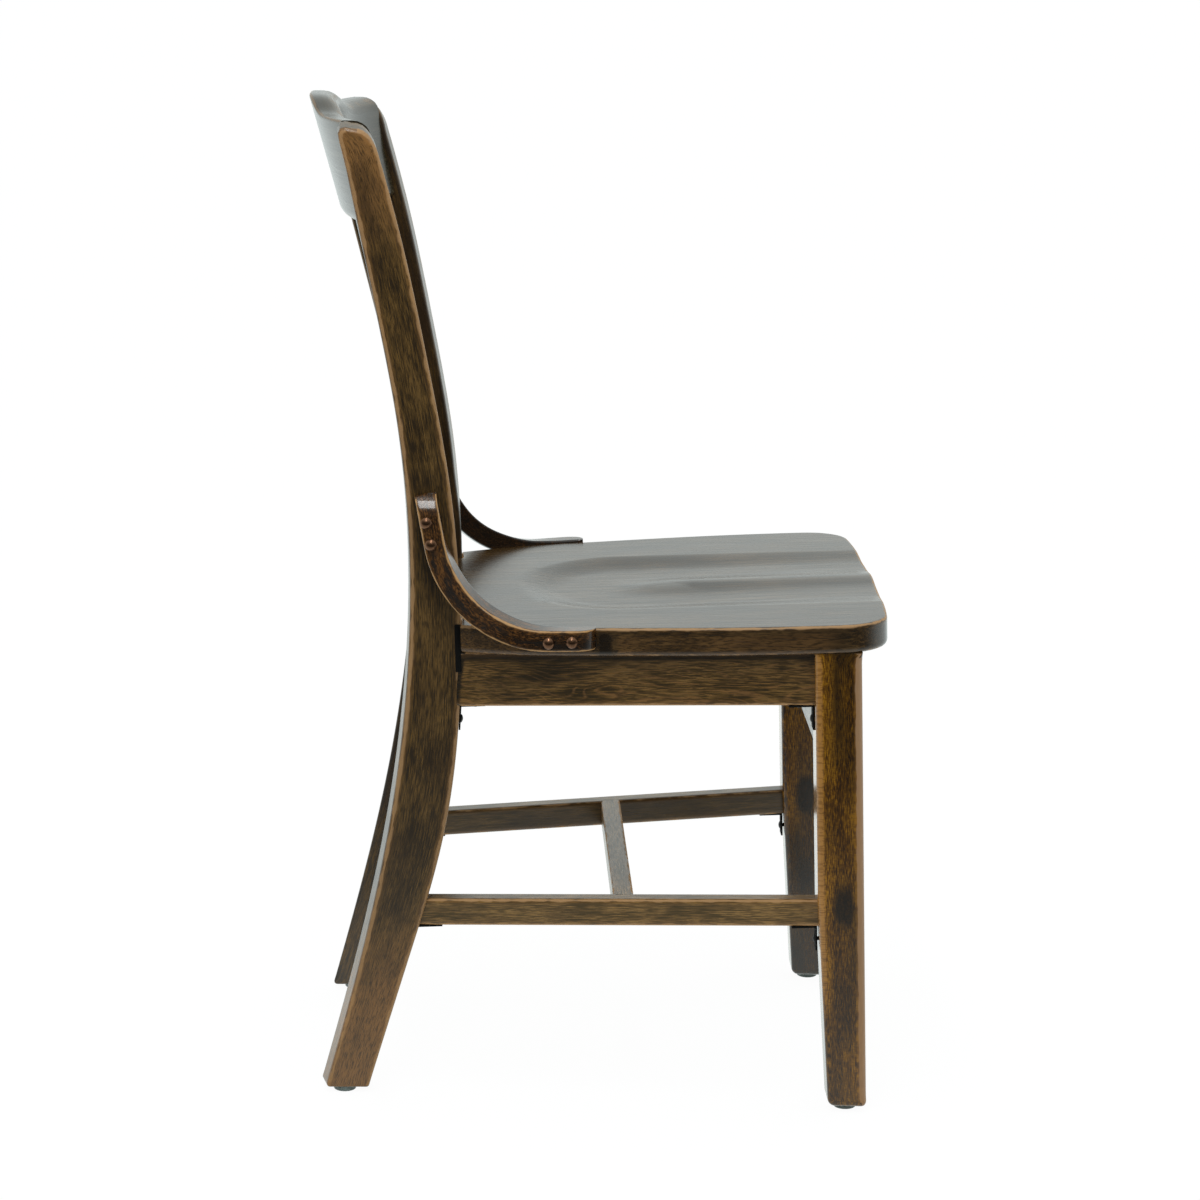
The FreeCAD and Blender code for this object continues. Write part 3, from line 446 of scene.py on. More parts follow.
def board(node, rails, depth, rounds, place, finish, seed, slot="frame_wood", ends=None,
          second_rounds=None, rub_at=(MID_ROUND, MID_ROUND), rub_half=(0.0, 0.0),
          second_fresh=SECOND_FRESH, stain=None):
    """A rounded plank between two matched long edges, bent into its place in the chair.

    The first face is the grid between the rails. Its border is drawn in by round * (1 - sin) and
    sinks by round * (1 - cos) as the angle goes from 0 to 90 degrees, runs straight through the
    plank and mirrors that at the second face. ends gives the end rounds of a plank whose ends show;
    others end square inside their neighbours.
    The edge layer is the distance over the surface from the rubbed line at angle rub_at on each long
    round, less half the rubbed width. The last argument gives the stain, with any painted light and
    shade, as a function of the place along, across and through.
    """
    rail_a, rail_b = rails
    n = len(rail_a)
    width = np.linalg.norm(rail_b - rail_a, axis=1)[:, None]
    steps = np.minimum(FACE_STEPS, width * np.linspace(0.0, FACE_MOST, len(FACE_STEPS)))
    steps = steps / np.maximum(width, TINY)
    share = np.concatenate([steps, np.full((n, 1), 0.5), 1.0 - steps[:, ::-1]], axis=1)
    radius, second_radius = (np.stack([r + np.zeros(n) for r in pair])
                             for pair in (rounds, second_rounds or rounds))
    loops = [np.concatenate([rail_a, rail_b[::-1]]), np.concatenate([rail_b, rail_a[::-1]])]
    inward = [draw_in(loop)[:n] for loop in loops]
    if ends:
        run = run_along((rail_a + rail_b) / 2.0)
        for r in (radius, second_radius):
            r[:] = ends[0] + (r - ends[0]) * np.clip(run / END_FADE, 0.0, 1.0)
            r[:] = ends[1] + (r - ends[1]) * np.clip((run[-1] - run) / END_FADE, 0.0, 1.0)
    else:
        for vectors in inward:
            vectors[0], vectors[-1] = vectors[1], vectors[-2]

    def slice_at(drawn, sunk):
        """The grid with each rail drawn in and sunk by its own amounts, blended across the board."""
        a = rail_a + inward[0] * drawn[0][:, None]
        b = rail_b + inward[1] * drawn[1][:, None]
        flat = a[:, None] + (b - a)[:, None] * share[:, :, None]
        deep = sunk[0][:, None] + (sunk[1] - sunk[0])[:, None] * share
        return np.concatenate([flat, deep[:, :, None]], axis=2)

    slices = [slice_at(radius * (1.0 - math.sin(a)), radius * (1.0 - math.cos(a))) for a in ARC]
    slices += [slice_at(0.0 * radius, radius + s * (depth - radius - second_radius)) for s in SIDE]
    slices += [slice_at(second_radius * (1.0 - math.sin(a)), depth - second_radius * (1.0 - math.cos(a)))
               for a in ARC[::-1]]
    rings = [border(piece) for piece in slices[1:-1]]
    local = np.concatenate([slices[0].reshape(-1, 3), *rings, slices[-1].reshape(-1, 3)])

    size, m = share.size, len(rings[0])
    first = np.arange(size).reshape(share.shape)
    second = first + size + m * len(rings)
    middle = size + np.arange(m * len(rings)).reshape(-1, m)
    bands = np.concatenate([[border(first)], middle, [border(second)]])
    faces = np.concatenate([quads(first), quads(second), quads(wrapped(bands))]).tolist()

    along = np.repeat(run_along((rail_a + rail_b) / 2.0)[:, None], share.shape[1], axis=1)
    across = share * width
    half, angle = (pair[0] + (pair[1] - pair[0]) * share for pair in (rub_half, rub_at))
    spread = radius[0][:, None] + (radius[1] - radius[0])[:, None] * share
    face = np.minimum(across - rub_half[0], width - across - rub_half[1]) + spread * angle
    r, angle = border(spread), border(angle)
    held = border(np.where((along == 0.0) | (along == along[-1]), FRESH, 0.0) - half)
    arcs = [r * abs(a - angle) + held for a in ARC]
    past = r * (math.pi / 2.0 - angle) + held
    wall = depth - 2.0 * r
    sides = [past + np.minimum(s * wall, (1.0 - s) * wall + second_fresh) for s in SIDE]
    around = (arcs + sides + [arc + second_fresh for arc in reversed(arcs)])[1:-1]
    edge = np.concatenate([face.ravel(), *around, face.ravel() + second_fresh])
    run, over = (np.concatenate([g.ravel(), *[border(g)] * len(rings), g.ravel()])
                 for g in (along, across))
    grain = np.column_stack([run, over, local[:, 2]]) + np.multiply(SEED_SHIFT, seed)
    marks = stain(run, over, local[:, 2]) if stain else np.zeros(len(run))
    lay(node + "_shape", node, place(*local.T), faces, finish, slot, grain=grain * MM,
        edge=np.maximum(edge, 0.0) * MM, stain=marks)


# Finishes


def linear(code):
    """sRGB hex to linear red, green and blue with full alpha: the standard two-part curve."""
    parts = [int(code[i:i + 2], 16) / 255.0 for i in (1, 3, 5)]
    return [c / 12.92 if c <= 0.04045 else ((c + 0.055) / 1.055) ** 2.4 for c in parts] + [1.0]


def add(tree, kind, out=None, **values):
    """Adds a node and returns an output, the first live one unless named.

    Each value names a property or an input, or in_N for the input in place N. A socket is linked,
    anything else is set.
    """
    node = tree.nodes.new("ShaderNode" + kind)
    for key, value in values.items():
        if hasattr(node, key):
            setattr(node, key, value)
            continue
        place = int(key[3:]) if key.startswith("in_") else key.replace("_", " ")
        socket = node.inputs[place]
        if isinstance(value, bpy.types.NodeSocket):
            tree.links.new(socket, value)
        else:
            socket.default_value = value
    return node.outputs[out] if out else next(o for o in node.outputs if o.enabled)


def new_material(name):
    """A fresh material, its node tree and its shader."""
    material = bpy.data.materials.new(name)
    material.use_nodes = True
    return material, material.node_tree, material.node_tree.nodes["Principled BSDF"]


def per_mm(*lengths):
    """Pattern scales in cycles per metre for features of these lengths in millimetres."""
    return [1000.0 / length for length in lengths]


def stained_wood(name, tones, burnt, amber, halo=(7.0, 0.3), line=(1.9, 0.9), haze=0.45, figure=0.0,
                 streak=(18.0, 1.2), fleck=(9.0, 1.0, 0.75), patch=(130.0, 55.0), sheen=(0.34, 0.26),
                 bump=0.12):
    """Maple under a dark wiping stain and satin lacquer, its edges sanded back to bare amber wood.

    The stain lies in fine streaks along the grain, sinks into short dark flecks, and is scorched
    nearly black in patches, by haze. tones are the darkest, middle and lightest streak, and sheen is
    the roughness of dark and light ones. figure adds the pale nested flames of a flat-sawn board.
    line and halo are the widths and strengths of the rubbed edge and the paler border beside it.
    streak, fleck and patch are sizes along and across the grain, fleck with its strength. Streaks
    and flecks of real maple are finer: these are as coarse as the render shows.
    """
    material, tree, shader = new_material(name)
    grain = add(tree, "Attribute", out="Vector", attribute_name="grain")
    edge = add(tree, "Attribute", out="Fac", attribute_name="edge")
    stain = add(tree, "Attribute", out="Fac", attribute_name="stain")
    # Sizes along, across and through the plank
    sizes = {"streaks": (*streak, streak[1]), "bands": (160.0, 9.0, 12.0), "clouds": (70.0, 28.0, 28.0),
             "patches": (*patch, patch[1]), "flecks": (*fleck[:2], fleck[1]),
             "ragged": (14.0, 5.0, 5.0), "warp": (150.0, 45.0, 45.0)}
    noise = {}
    for key, size in sizes.items():
        place = add(tree, "Mapping", Vector=grain, Scale=per_mm(*size))
        noise[key] = add(tree, "TexNoise", Vector=place, Scale=1.0, Detail=2.0)

    tone = 0.0
    for key, weight in (("streaks", 0.55), ("bands", 0.15), ("clouds", 0.3)):
        tone = add(tree, "Math", operation="MULTIPLY_ADD", in_0=noise[key], in_1=weight, in_2=tone)
    across = add(tree, "SeparateXYZ", out="Y", in_0=grain)
    ring = add(tree, "Math", operation="MULTIPLY_ADD", in_0=noise["warp"], in_1=RING_WANDER * MM,
               in_2=across)
    ring = add(tree, "Math", operation="PINGPONG", in_0=ring, in_1=RING_HALF * MM)
    # Marks are uneven, and the rubbed line's width is ragged
    uneven = add(tree, "MapRange", Value=noise["clouds"], To_Min=0.6, To_Max=1.4, **NOISE_SPREAD)
    stain = add(tree, "Math", operation="MULTIPLY", in_0=stain, in_1=uneven)
    reach = add(tree, "MapRange", Value=noise["ragged"], From_Min=0.32, From_Max=0.68,
                To_Min=0.35, To_Max=1.6)
    rubbed = add(tree, "Math", operation="DIVIDE", in_0=edge, in_1=reach)

    # Coats from the bottom up: what drives the coat, where it starts and is full, its strength and colour
    # The stain layer gives scorch and painted shade in the burnt colour, and rubbed wood and painted light
    # in amber
    coats = [(tone, 0.5, 0.42, 1.0, tones[0]), (tone, 0.5, 0.58, 1.0, tones[2]),
             (ring, 0.6 * RING_HALF * MM, RING_HALF * MM, figure, amber[0]),
             (noise["patches"], 0.5, 0.66, haze, burnt), (stain, 0.05, 1.0, 0.95, burnt),
             (stain, -0.05, -1.0, 0.9, amber[0]), (noise["flecks"], 0.48, 0.62, fleck[2], tones[0]),
             (edge, halo[0] * MM, 0.0, halo[1], amber[0]),
             (rubbed, line[0] * MM, 0.25 * line[0] * MM, line[1], amber[1])]
    colour = linear(tones[1])
    for driver, start, full, strength, hue in coats:
        if strength:
            cover = add(tree, "MapRange", interpolation_type="SMOOTHSTEP", Value=driver, From_Min=start,
                        From_Max=full, To_Max=strength)
            colour = add(tree, "Mix", data_type="RGBA", in_0=cover, in_6=colour, in_7=linear(hue))
    rough = add(tree, "MapRange", Value=noise["streaks"], To_Min=sheen[0], To_Max=sheen[1], **NOISE_SPREAD)
    # The last coat's cover is the rubbed line, which is duller
    rough = add(tree, "Math", operation="MULTIPLY_ADD", in_0=cover, in_1=RUBBED_DULL, in_2=rough)
    relief = add(tree, "Bump", Height=noise["streaks"], Strength=bump, Distance=RELIEF * MM)
    for key, socket in (("Base Color", colour), ("Roughness", rough), ("Normal", relief)):
        tree.links.new(shader.inputs[key], socket)
    return material


def speckled(name, colour, mottle, roughness, metallic=0.0, size=3.0, gloss=0.5):
    """A painted, plated or moulded finish: one colour that drifts to a second in specks of one size.

    The roughness drifts with the specks by 15 percent to either side.
    """
    material, tree, shader = new_material(name)
    place = add(tree, "TexCoord", out="Object")
    speck = add(tree, "TexNoise", Vector=place, Scale=per_mm(size)[0], Detail=3.0)
    cover = add(tree, "MapRange", Value=speck, From_Min=0.4, From_Max=0.75, To_Max=0.4)
    mixed = add(tree, "Mix", data_type="RGBA", in_0=cover, in_6=linear(colour), in_7=linear(mottle))
    rough = add(tree, "MapRange", Value=speck, To_Min=0.85 * roughness, To_Max=1.15 * roughness,
                **NOISE_SPREAD)
    tree.links.new(shader.inputs["Base Color"], mixed)
    tree.links.new(shader.inputs["Roughness"], rough)
    shader.inputs["Metallic"].default_value = metallic
    shader.inputs["Specular IOR Level"].default_value = gloss
    return material


# Stained maple reads as dark olive brown with rubbed amber edges, and mirrors grey at a low angle
AMBER = ("#8A6032", "#B88C5C")
POST_WOOD = stained_wood("dark stained maple posts", ("#2C1E0A", "#4E3815", "#6A4E24"), "#24160C", AMBER,
                         halo=(7.0, 0.3), line=(2.6, 0.55), haze=0.35)
APRON_WOOD = stained_wood("dark stained maple aprons", ("#3A290A", "#5E4318", "#826030"), "#1C140A", AMBER,
                          figure=0.65)
STRETCHER_WOOD = stained_wood("rubbed maple stretchers", ("#4A370F", "#745529", "#93703C"), "#2A1E10",
                              AMBER, haze=0.3)
# The front legs keep more bare amber at the back edge and a scorched core, with ripples across the grain
LEG_WOOD = stained_wood("amber rubbed maple front legs", ("#3A2000", "#6D4502", "#9C6A0E"), "#100C07",
                        ("#B07C3E", "#A47C57"), halo=(3.0, 0.3), line=(1.0, 0.75), haze=0.3,
                        streak=(7.0, 1.1), fleck=(1.6, 5.0, 0.4), sheen=(0.22, 0.16))
# The seat and back are smoother, so they mirror more evenly
SEAT_WOOD = stained_wood("dark stained maple seat", ("#281B0A", "#3E2B13", "#523C20"), "#1B1208", AMBER,
                         halo=(4.0, 0.2), line=(1.9, 0.75), streak=(90.0, 1.8), sheen=(0.29, 0.21),
                         bump=0.09)
BACK_WOOD = stained_wood("dark stained maple back", ("#2C2619", "#373022", "#443B2A"), "#2A2115", AMBER,
                         halo=(5.0, 0.1), line=(1.9, 0.25), haze=0.2, streak=(90.0, 1.8),
                         sheen=(0.25, 0.21), bump=0.03)
# The braces are darker, spotted with scorch marks and rubbed sharply at both edges. Their scorch colour is
# a neutral near-black grey: partly real scorch and partly painted grey reflection on the inner faces
BRACE_WOOD = stained_wood("scorched brown bent braces", ("#24160A", "#452A10", "#64401C"), "#1C1917",
                          ("#7E562A", "#BE8F58"), halo=(4.0, 0.2), line=(1.4, 0.85), haze=0.9,
                          streak=(3.0, 1.6), patch=(16.0, 9.0), sheen=(0.2, 0.19), bump=0.0)
# Polished bronze mirrors the lights as small sharp spots
BOLT_BRONZE = speckled("polished dark bronze bolts", "#74543F", "#34261E", 0.28, 1.0, 2.0)
# Japanned steel is a flat near black with a dull sheen
BRACKET_BLACK = speckled("black japanned steel brackets", "#0E0E0E", "#1A1918", 0.9, 0.0, 4.0, 0.15)
# Blued screws keep a thin dark oxide, so they are nearly as black as the brackets
SCREW_BLACK = speckled("black oxide steel screws", "#1A1817", "#0E0D0D", 0.6, 0.0, 2.0, 0.3)
# Moulded nylon is a soft even grey
GLIDE_GREY = speckled("grey nylon glides", "#6F7A76", "#4A524F", 0.5, 0.0, 4.0)
# Zinc plating is a pale grey metal, and planed beech a dull pale tan
ZINC = speckled("zinc plated steel", "#A8A8A4", "#7C7C78", 0.4, 1.0, 3.0)
BEECH = speckled("bare beech dowels", "#C49E6E", "#A67F50", 0.6, 0.0, 6.0)


# Pieces


def dress_seat():
    """Rings of the outline shrunk to one centre, a quarter round, the side, and the underside.

    The hollow lowers the top and fades out down the side, so the front edge waves with it.
    """
    half = SEAT_EDGE + [(0.0, 0.0)]
    curve = curve_through(half + [(-x, d) for x, d in reversed(SEAT_EDGE)], SEAT_EDGE_STEPS)
    rear = [SEAT_EDGE[0]] + SEAT_NOTCH
    rear = np.array([(-x, d) for x, d in rear] + rear[::-1])
    back = np.concatenate([straight(a, b, SEAT_REAR_STEPS)[:-1] for a, b in zip(rear, rear[1:])])
    loop = np.concatenate([curve[:-1], back])
    inward = draw_in(loop)
    centre = np.array(SEAT_CENTRE)
    top, low = SEAT_TOP_ROUND, SEAT_LOW_ROUND
    wall = SEAT_THICK - top - low
    rim, under = loop + inward * top, loop + inward * low
    to_rim = np.linalg.norm(rim - centre, axis=1)
    # Each row is a ring in plan, its height and its distance from the nearest rubbed edge
    rows = [(centre + (rim - centre) * f, 0.0, (1.0 - f) * to_rim + top * MID_ROUND)
            for f in np.sqrt(np.linspace(0.0, 1.0, SEAT_TOP_RINGS))[1:]]
    rows += [(loop + inward * top * (1.0 - math.sin(a)), top * (math.cos(a) - 1.0),
              top * abs(a - MID_ROUND)) for a in ARC[1:]]
    rows += [(loop, -top - s * wall,
              min(s * wall + top * MID_ROUND, (1.0 - s) * wall + low * MID_ROUND + LOW_FRESH))
             for s in SIDE]
    rows += [(loop + inward * low * (1.0 - math.sin(a)), low * (1.0 - math.cos(a)) - SEAT_THICK,
              low * abs(a - MID_ROUND) + LOW_FRESH) for a in ARC[::-1]]
    rows += [(centre + (under - centre) * f, -SEAT_THICK, FRESH)
             for f in np.linspace(1.0, 0.0, SEAT_LOW_RINGS)[1:-1]]

    m = len(loop)
    flat = np.concatenate([row[0] for row in rows])
    h = np.repeat([row[1] for row in rows], m)
    edge = np.concatenate([np.broadcast_to(row[2], m) for row in rows])
    flank = np.append(ramp(h, SEAT_SIDE_H), [0.0, 1.0])
    h = h - scoop(*flat.T) * np.clip(1.0 + h / SCOOP_FADE_H, 0.0, 1.0)
    poles = [[*centre, -scoop(*centre)], [*centre, -SEAT_THICK]]
    local = np.concatenate([np.column_stack([flat, h]), poles])
    index = wrapped(np.arange(len(rows) * m).reshape(-1, m))
    hubs = np.full((2, m), len(rows) * m) + [[0], [1]]
    faces = quads(index).tolist()
    faces += np.column_stack([index[0, :-1], index[0, 1:], hubs[0]]).tolist()
    faces += np.column_stack([index[-1, 1:], index[-1, :-1], hubs[1]]).tolist()
    x, d, h = local.T
    # The side darkens towards the front, is paler where rubbed, and carries a painted shadow beside the
    # brace tip
    painted_tip_shadow = SEAT_TIP_PAINTED_SHADOW * bell(d, SEAT_TIP_D, SEAT_TIP_REACH)
    side = (ramp(d, SEAT_FRONT_D) + painted_tip_shadow - SEAT_SIDE_RUB) * flank
    lay("seat_wood", "seat", tipped(x, d, h), faces, SEAT_WOOD, "frame_wood",
        grain=np.column_stack([d, x, h]) * MM, edge=np.append(edge, [FRESH, FRESH]) * MM, stain=side)


def corner(rail, drop, way):
    """Draws a rail's last points in along a quarter circle, backwards for a way of 1, forwards for -1.

    The shift is the round less the root of its square less the square of the gap to the circle's start.
    """
    run = run_along(rail)
    gap = np.clip(drop - (run[-1] - run), 0.0, drop)
    shift = way * (drop - np.sqrt(drop ** 2 - gap ** 2))
    return rail + np.column_stack([shift, np.zeros(len(rail))])


def footed(front, rear, rows, corners):
    """A leg's two edges again, their rows even and then crowded at the foot as a sine, corners rounded."""
    close = 1.0 - FOOT_SHARE * (1.0 - np.sin(np.linspace(0.0, math.pi / 2.0, FOOT_STEPS)))
    shares = np.concatenate([np.linspace(0.0, 1.0 - FOOT_SHARE, rows)[:-1], close])
    front, rear = (at_shares(edge, shares) for edge in (front, rear))
    return corner(front, corners[0], 1.0), corner(rear, corners[1], -1.0)


def post_edge(edge, top, steps):
    """One edge of a post from its top down: two splines end to end."""
    return np.concatenate([curve_through(edge, steps[0])[:-1], curve_through(top, steps[1])])[::-1]


def dress_post(side, node, seed):
    """Front and rear edges of the side outline, from the rounded top where they meet down to the foot.

    The rear face turns outwards towards the foot and the front face inwards, each by moving one edge.
    The top slopes down to the outside. It is rubbed, the foot is paler with painted light from the floor's
    bounce, and the inner face is scorched.
    """
    front = post_edge(POST_FRONT, POST_TOP_FRONT, POST_FRONT_STEPS)
    rear = post_edge(POST_REAR, POST_TOP_REAR, POST_REAR_STEPS)
    front, rear = footed(front, rear, POST_ROWS, POST_FOOT_CORNERS)
    front_y, rear_y = (np.interp(np.arange(POST_TABLE_Z), *curve_through(edge, POST_TABLE_STEPS).T[::-1])
                       for edge in (POST_FRONT, POST_REAR))
    top_round = POST_TOP_ROUND * ramp(run_along(front), POST_TOP_ROUND_RUN)
    depth = POST_OUTER - POST_INNER

    def place(y, z, w):
        """Shifts y by the square of the share towards the rear or front edge, and z by the top's slope."""
        level = np.clip(z, 0.0, POST_TABLE_TOP).astype(int)
        back = np.clip((y - front_y[level]) / (rear_y[level] - front_y[level]), 0.0, 1.0)
        turn = POST_TURN_TOP + (POST_TURN_FOOT - POST_TURN_TOP) * smooth(1.0 - z / POST_TURN_END_Z)
        front_turn = POST_FRONT_TURN * ramp(z, POST_FRONT_TURN_Z)
        y = y - turn * back ** 2 * (1.0 - w / depth) + front_turn * (1.0 - back) ** 2 * w / depth
        slope = POST_TOP_SLOPE * (1.0 - w / depth) * ramp(z, POST_SLOPE_Z)
        return np.stack([side * (POST_OUTER - w), y, z - slope], axis=-1)

    def stain(along, across, through):
        """The inner face's scorch less the rub of the outer face's top and the painted floor-bounce light
        at the foot.
        """
        top = mark(along, *POST_TOP_RUB) * ramp(through, POST_TOP_RUB_THROUGH)
        return mark(through, *POST_DARK) - top - mark(along, *POST_FOOT_PAINTED_LIGHT)

    board(node, (front, rear), depth, (POST_ROUNDS[0] + top_round, POST_ROUNDS[1]), place, POST_WOOD, seed,
          ends=(3.5, 1.5), rub_at=(1.0, 0.1), rub_half=(1.3, 0.2), second_fresh=6.0, stain=stain)


def dress_leg(side, node, seed):
    """A straight front edge and a rear edge that tapers below the stretcher, cut level at the glide.

    A scorched streak runs down behind the broad rubbed front corner, with two spots near the
    stretcher and above the foot, and the inner face is scorched.
    """
    def foot(d):
        """The point at d in the square frame that stands at the glide's height: the tilt solved for h."""
        return (d, (GLIDE_HEIGHT - SEAT_HEIGHT + d * math.sin(TILT)) / math.cos(TILT))

    front = np.array([(LEG_FRONT_D, -SEAT_THICK), foot(LEG_FRONT_D)])
    rear = np.array([(LEG_REAR_D, -SEAT_THICK), (LEG_REAR_D, LEG_TAPER_H), foot(LEG_FOOT_REAR_D)])
    rails = footed(front, rear, LEG_ROWS, LEG_FOOT_CORNERS)

    def stain(along, across, through):
        """The darkest of the streak, the spots and the inner face, less the bare strip at the rear."""
        marks = [dark * bell(along, at, length) * bell(across, LEG_SPOT_ACROSS, width)
                 for dark, at, length, width in LEG_SPOTS]
        marks.append(ramp(across, LEG_STREAK_ACROSS) * np.interp(along, LEG_STREAK_ALONG, LEG_STREAK))
        marks.append((LEG_DARK + mark(along, *LEG_LOW_DARK)) * ramp(through, LEG_DARK_THROUGH))
        return np.max(marks, axis=0) - mark(across, *LEG_BARE) * ramp(through, LEG_BARE_THROUGH)

    board(node, rails, LEG_OUTER - LEG_INNER, LEG_ROUNDS,
          lambda d, h, w: tipped(side * (LEG_OUTER - w), d, h), LEG_WOOD, seed, ends=(1.0, 5.0),
          rub_half=(4.8, -1.5), stain=stain)


def level_edges(start, ends, heights, rows):
    """A rail's upper and lower edge: level lines at two heights from one start, each to its own end."""
    return [straight((start, height), (end, height), rows) for end, height in zip(ends, heights)]


def dress_side_rails(side, hand, seed):
    """Apron and stretcher on the tapered plan line. The apron carries painted shade along its top, under
    the seat, and at its end by the post.
    """
    def place(d, h, w):
        """The plan line plus half the thickness less the place through, kept off the post's inner face."""
        x = np.maximum(rail_x(d) + RAIL_THICK / 2.0 - w, POST_INNER + RAIL_OFF_POST)
        return tipped(side * x, d, h)

    def apron_stain(along, across, through):
        """The darker of two painted shades: a bell at the upper edge, under the seat, and a ramp at the end
        by the post.
        """
        return np.maximum(APRON_PAINTED_SHADE[0] * bell(across, 0.0, APRON_PAINTED_SHADE_REACH), mark(along, *APRON_PAINTED_SHADE))

    apron = level_edges(APRON_START_D, APRON_END_D, APRON_H, RAIL_ROWS)
    board("side_apron_" + hand, apron, RAIL_THICK, (1.5, 2.5), place, APRON_WOOD, seed + 0.5,
          stain=apron_stain)
    start, end = STRETCHER_D
    stretcher = level_edges(start, (end, end), STRETCHER_H, RAIL_ROWS)
    board("side_stretcher_" + hand, stretcher, RAIL_THICK, (3.0, 3.0), place, STRETCHER_WOOD, seed + 0.7,
          stain=lambda along, across, through: mark(through, *STRETCHER_DARK))


def dress_plate(side, node):
    """A flat bar on the post's front, with edges just broken, that closes the gap behind the seat."""
    (inner, outer), (top, low) = PLATE_X, PLATE_H
    edges = [straight((d, top), (d, low), PLATE_ROWS) for d in PLATE_D]
    board(node, edges, outer - inner, PLATE_ROUNDS, lambda d, h, w: tipped(side * (outer - w), d, h),
          BRACKET_BLACK, seed=0.0, slot="bracket_steel", ends=PLATE_ROUNDS)


def dress_cross_rails():
    """Front apron, rear apron and cross stretcher: straight rails across the chair."""
    beside_rail = rail_x(sum(CROSS_D) / 2.0) - RAIL_THICK / 2.0
    front_h = (-SEAT_THICK, FRONT_APRON_LOW_H)
    rails = (("front_apron", APRON_WOOD, LEG_INNER + RAIL_INTO_LEG, front_h, FRONT_APRON_D),
             ("rear_apron", APRON_WOOD, POST_INNER + RAIL_INTO_POST, APRON_H, REAR_APRON_D),
             ("cross_stretcher", STRETCHER_WOOD, beside_rail + RAIL_INTO_LEG, STRETCHER_H, CROSS_D))
    for i, (node, finish, half, heights, (near, far)) in enumerate(rails):
        edges = level_edges(-half, (half, half), heights, RAIL_ROWS)
        board(node, edges, far - near, (2.5, 2.5), lambda x, h, w: tipped(x, near + w, h), finish,
              seed=6.1 + 0.6 * i)


def dress_crest():
    """Level shoulders with a broad hump, exp of a fourth power, on a slab bowed as a parabola.

    The front is hollowed towards its lower edge: the thickness swells with the square of the height.
    """
    x = np.linspace(-POST_INNER - CREST_INTO_POST, POST_INNER + CREST_INTO_POST, CREST_ROWS)
    hump = CREST_RISE * np.exp(-(x / CREST_HUMP) ** 4)
    top = np.column_stack([x, CREST_END_Z + hump])
    low = np.column_stack([x, np.full_like(x, CREST_LOW_Z)])

    def place(x, z, w):
        """The rear face's y less a share of the thickness at that height."""
        rear = CREST_REAR_Y - CREST_BOW * (x / POST_INNER) ** 2 + CREST_LEAN * (z - CREST_LOW_Z)
        thick = CREST_LOW_THICK + CREST_SWELL * ((z - CREST_LOW_Z) / CREST_SWELL_Z) ** 2
        return np.stack([x, rear - np.minimum(thick, CREST_MOST_THICK) * w / CREST_THICK, z], axis=-1)

    board("crest_rail", (top, low), CREST_THICK, (3.5, 8.0), place, BACK_WOOD, seed=3.1,
          second_rounds=(12.0, 5.0))


def dress_back_filling():
    """Lower rail and slats: boards that lean back as they rise.

    The slats' heads turn with the crest's bow, by a share of its slope at their middle.
    """
    low_z, top_z = LOW_RAIL_Z
    half = POST_INNER + RAIL_INTO_POST
    middle = (low_z + top_z) / 2.0

    def place_rail(x, z, w):
        """The lean times the height, plus half the thickness less the place through."""
        y = LOW_RAIL_Y + LOW_RAIL_LEAN * (z - middle) + LOW_RAIL_THICK / 2.0 - w
        return np.stack([x, y, z], axis=-1)

    edges = level_edges(-half, (half, half), (top_z, low_z), BACK_ROWS)
    board("lower_back_rail", edges, LOW_RAIL_THICK, (4.0, 4.0), place_rail, BACK_WOOD, seed=4.3)
    foot_y = LOW_RAIL_Y + LOW_RAIL_LEAN * (top_z - middle)
    rise = CREST_LOW_Z - top_z
    slats = ("back_slat_left", SLAT_SPACING), ("back_slat_centre", 0.0), ("back_slat_right", -SLAT_SPACING)
    for i, (node, middle_x) in enumerate(slats):
        crest_y = CREST_REAR_Y - CREST_LOW_THICK / 2.0 - CREST_BOW * (middle_x / POST_INNER) ** 2
        head_y = crest_y - SLAT_FORWARD
        turn = SLAT_TURN * 2.0 * CREST_BOW * middle_x / POST_INNER ** 2
        low_end, top_end = top_z - SLAT_INTO_RAIL, CREST_LOW_Z + SLAT_INTO_RAIL
        edges = [straight((x, low_end), (x, top_end), BACK_ROWS)
                 for x in (middle_x - SLAT_WIDTH / 2.0, middle_x + SLAT_WIDTH / 2.0)]

        def place_slat(x, z, w):
            """From the rail's y to the turned head's by the share of the height, less the place through."""
            up = (z - top_z) / rise
            y = foot_y + (head_y - foot_y - turn * (x - middle_x)) * up + SLAT_THICK / 2.0 - w
            return np.stack([x, y, z], axis=-1)

        board(node, edges, SLAT_THICK, (2.5, 2.5), place_slat, BACK_WOOD, seed=5.0 + i)


def brace_line():
    """Centre line of a hip brace in the side view, and the centre of its bend.

    Two straight ends run into one arc that touches both: its centre lies on the line that halves
    the corner, at the bend's radius over the sine of half the angle.
    """
    top, corner_at, tip = (np.array(p) for p in (BRACE_TOP, BRACE_CORNER, BRACE_TIP))
    up = (top - corner_at) / np.linalg.norm(top - corner_at)
    ahead = (tip - corner_at) / np.linalg.norm(tip - corner_at)
    middle = (up + ahead) / np.linalg.norm(up + ahead)
    half = math.acos(float(middle @ up))
    centre = corner_at + middle * (BRACE_BEND / math.sin(half))
    first = corner_at + up * (BRACE_BEND / math.tan(half))
    last = corner_at + ahead * (BRACE_BEND / math.tan(half))
    start, end = (math.atan2(*(p - centre)[::-1]) for p in (first, last))
    angle = np.linspace(start, end, BRACE_BEND_STEPS)
    bend = centre + BRACE_BEND * np.column_stack([np.cos(angle), np.sin(angle)])
    line = np.concatenate([straight(top, first, BRACE_END_STEPS), bend[1:-1],
                           straight(last, tip, BRACE_END_STEPS)])
    return resample(line, BRACE_ROWS), centre


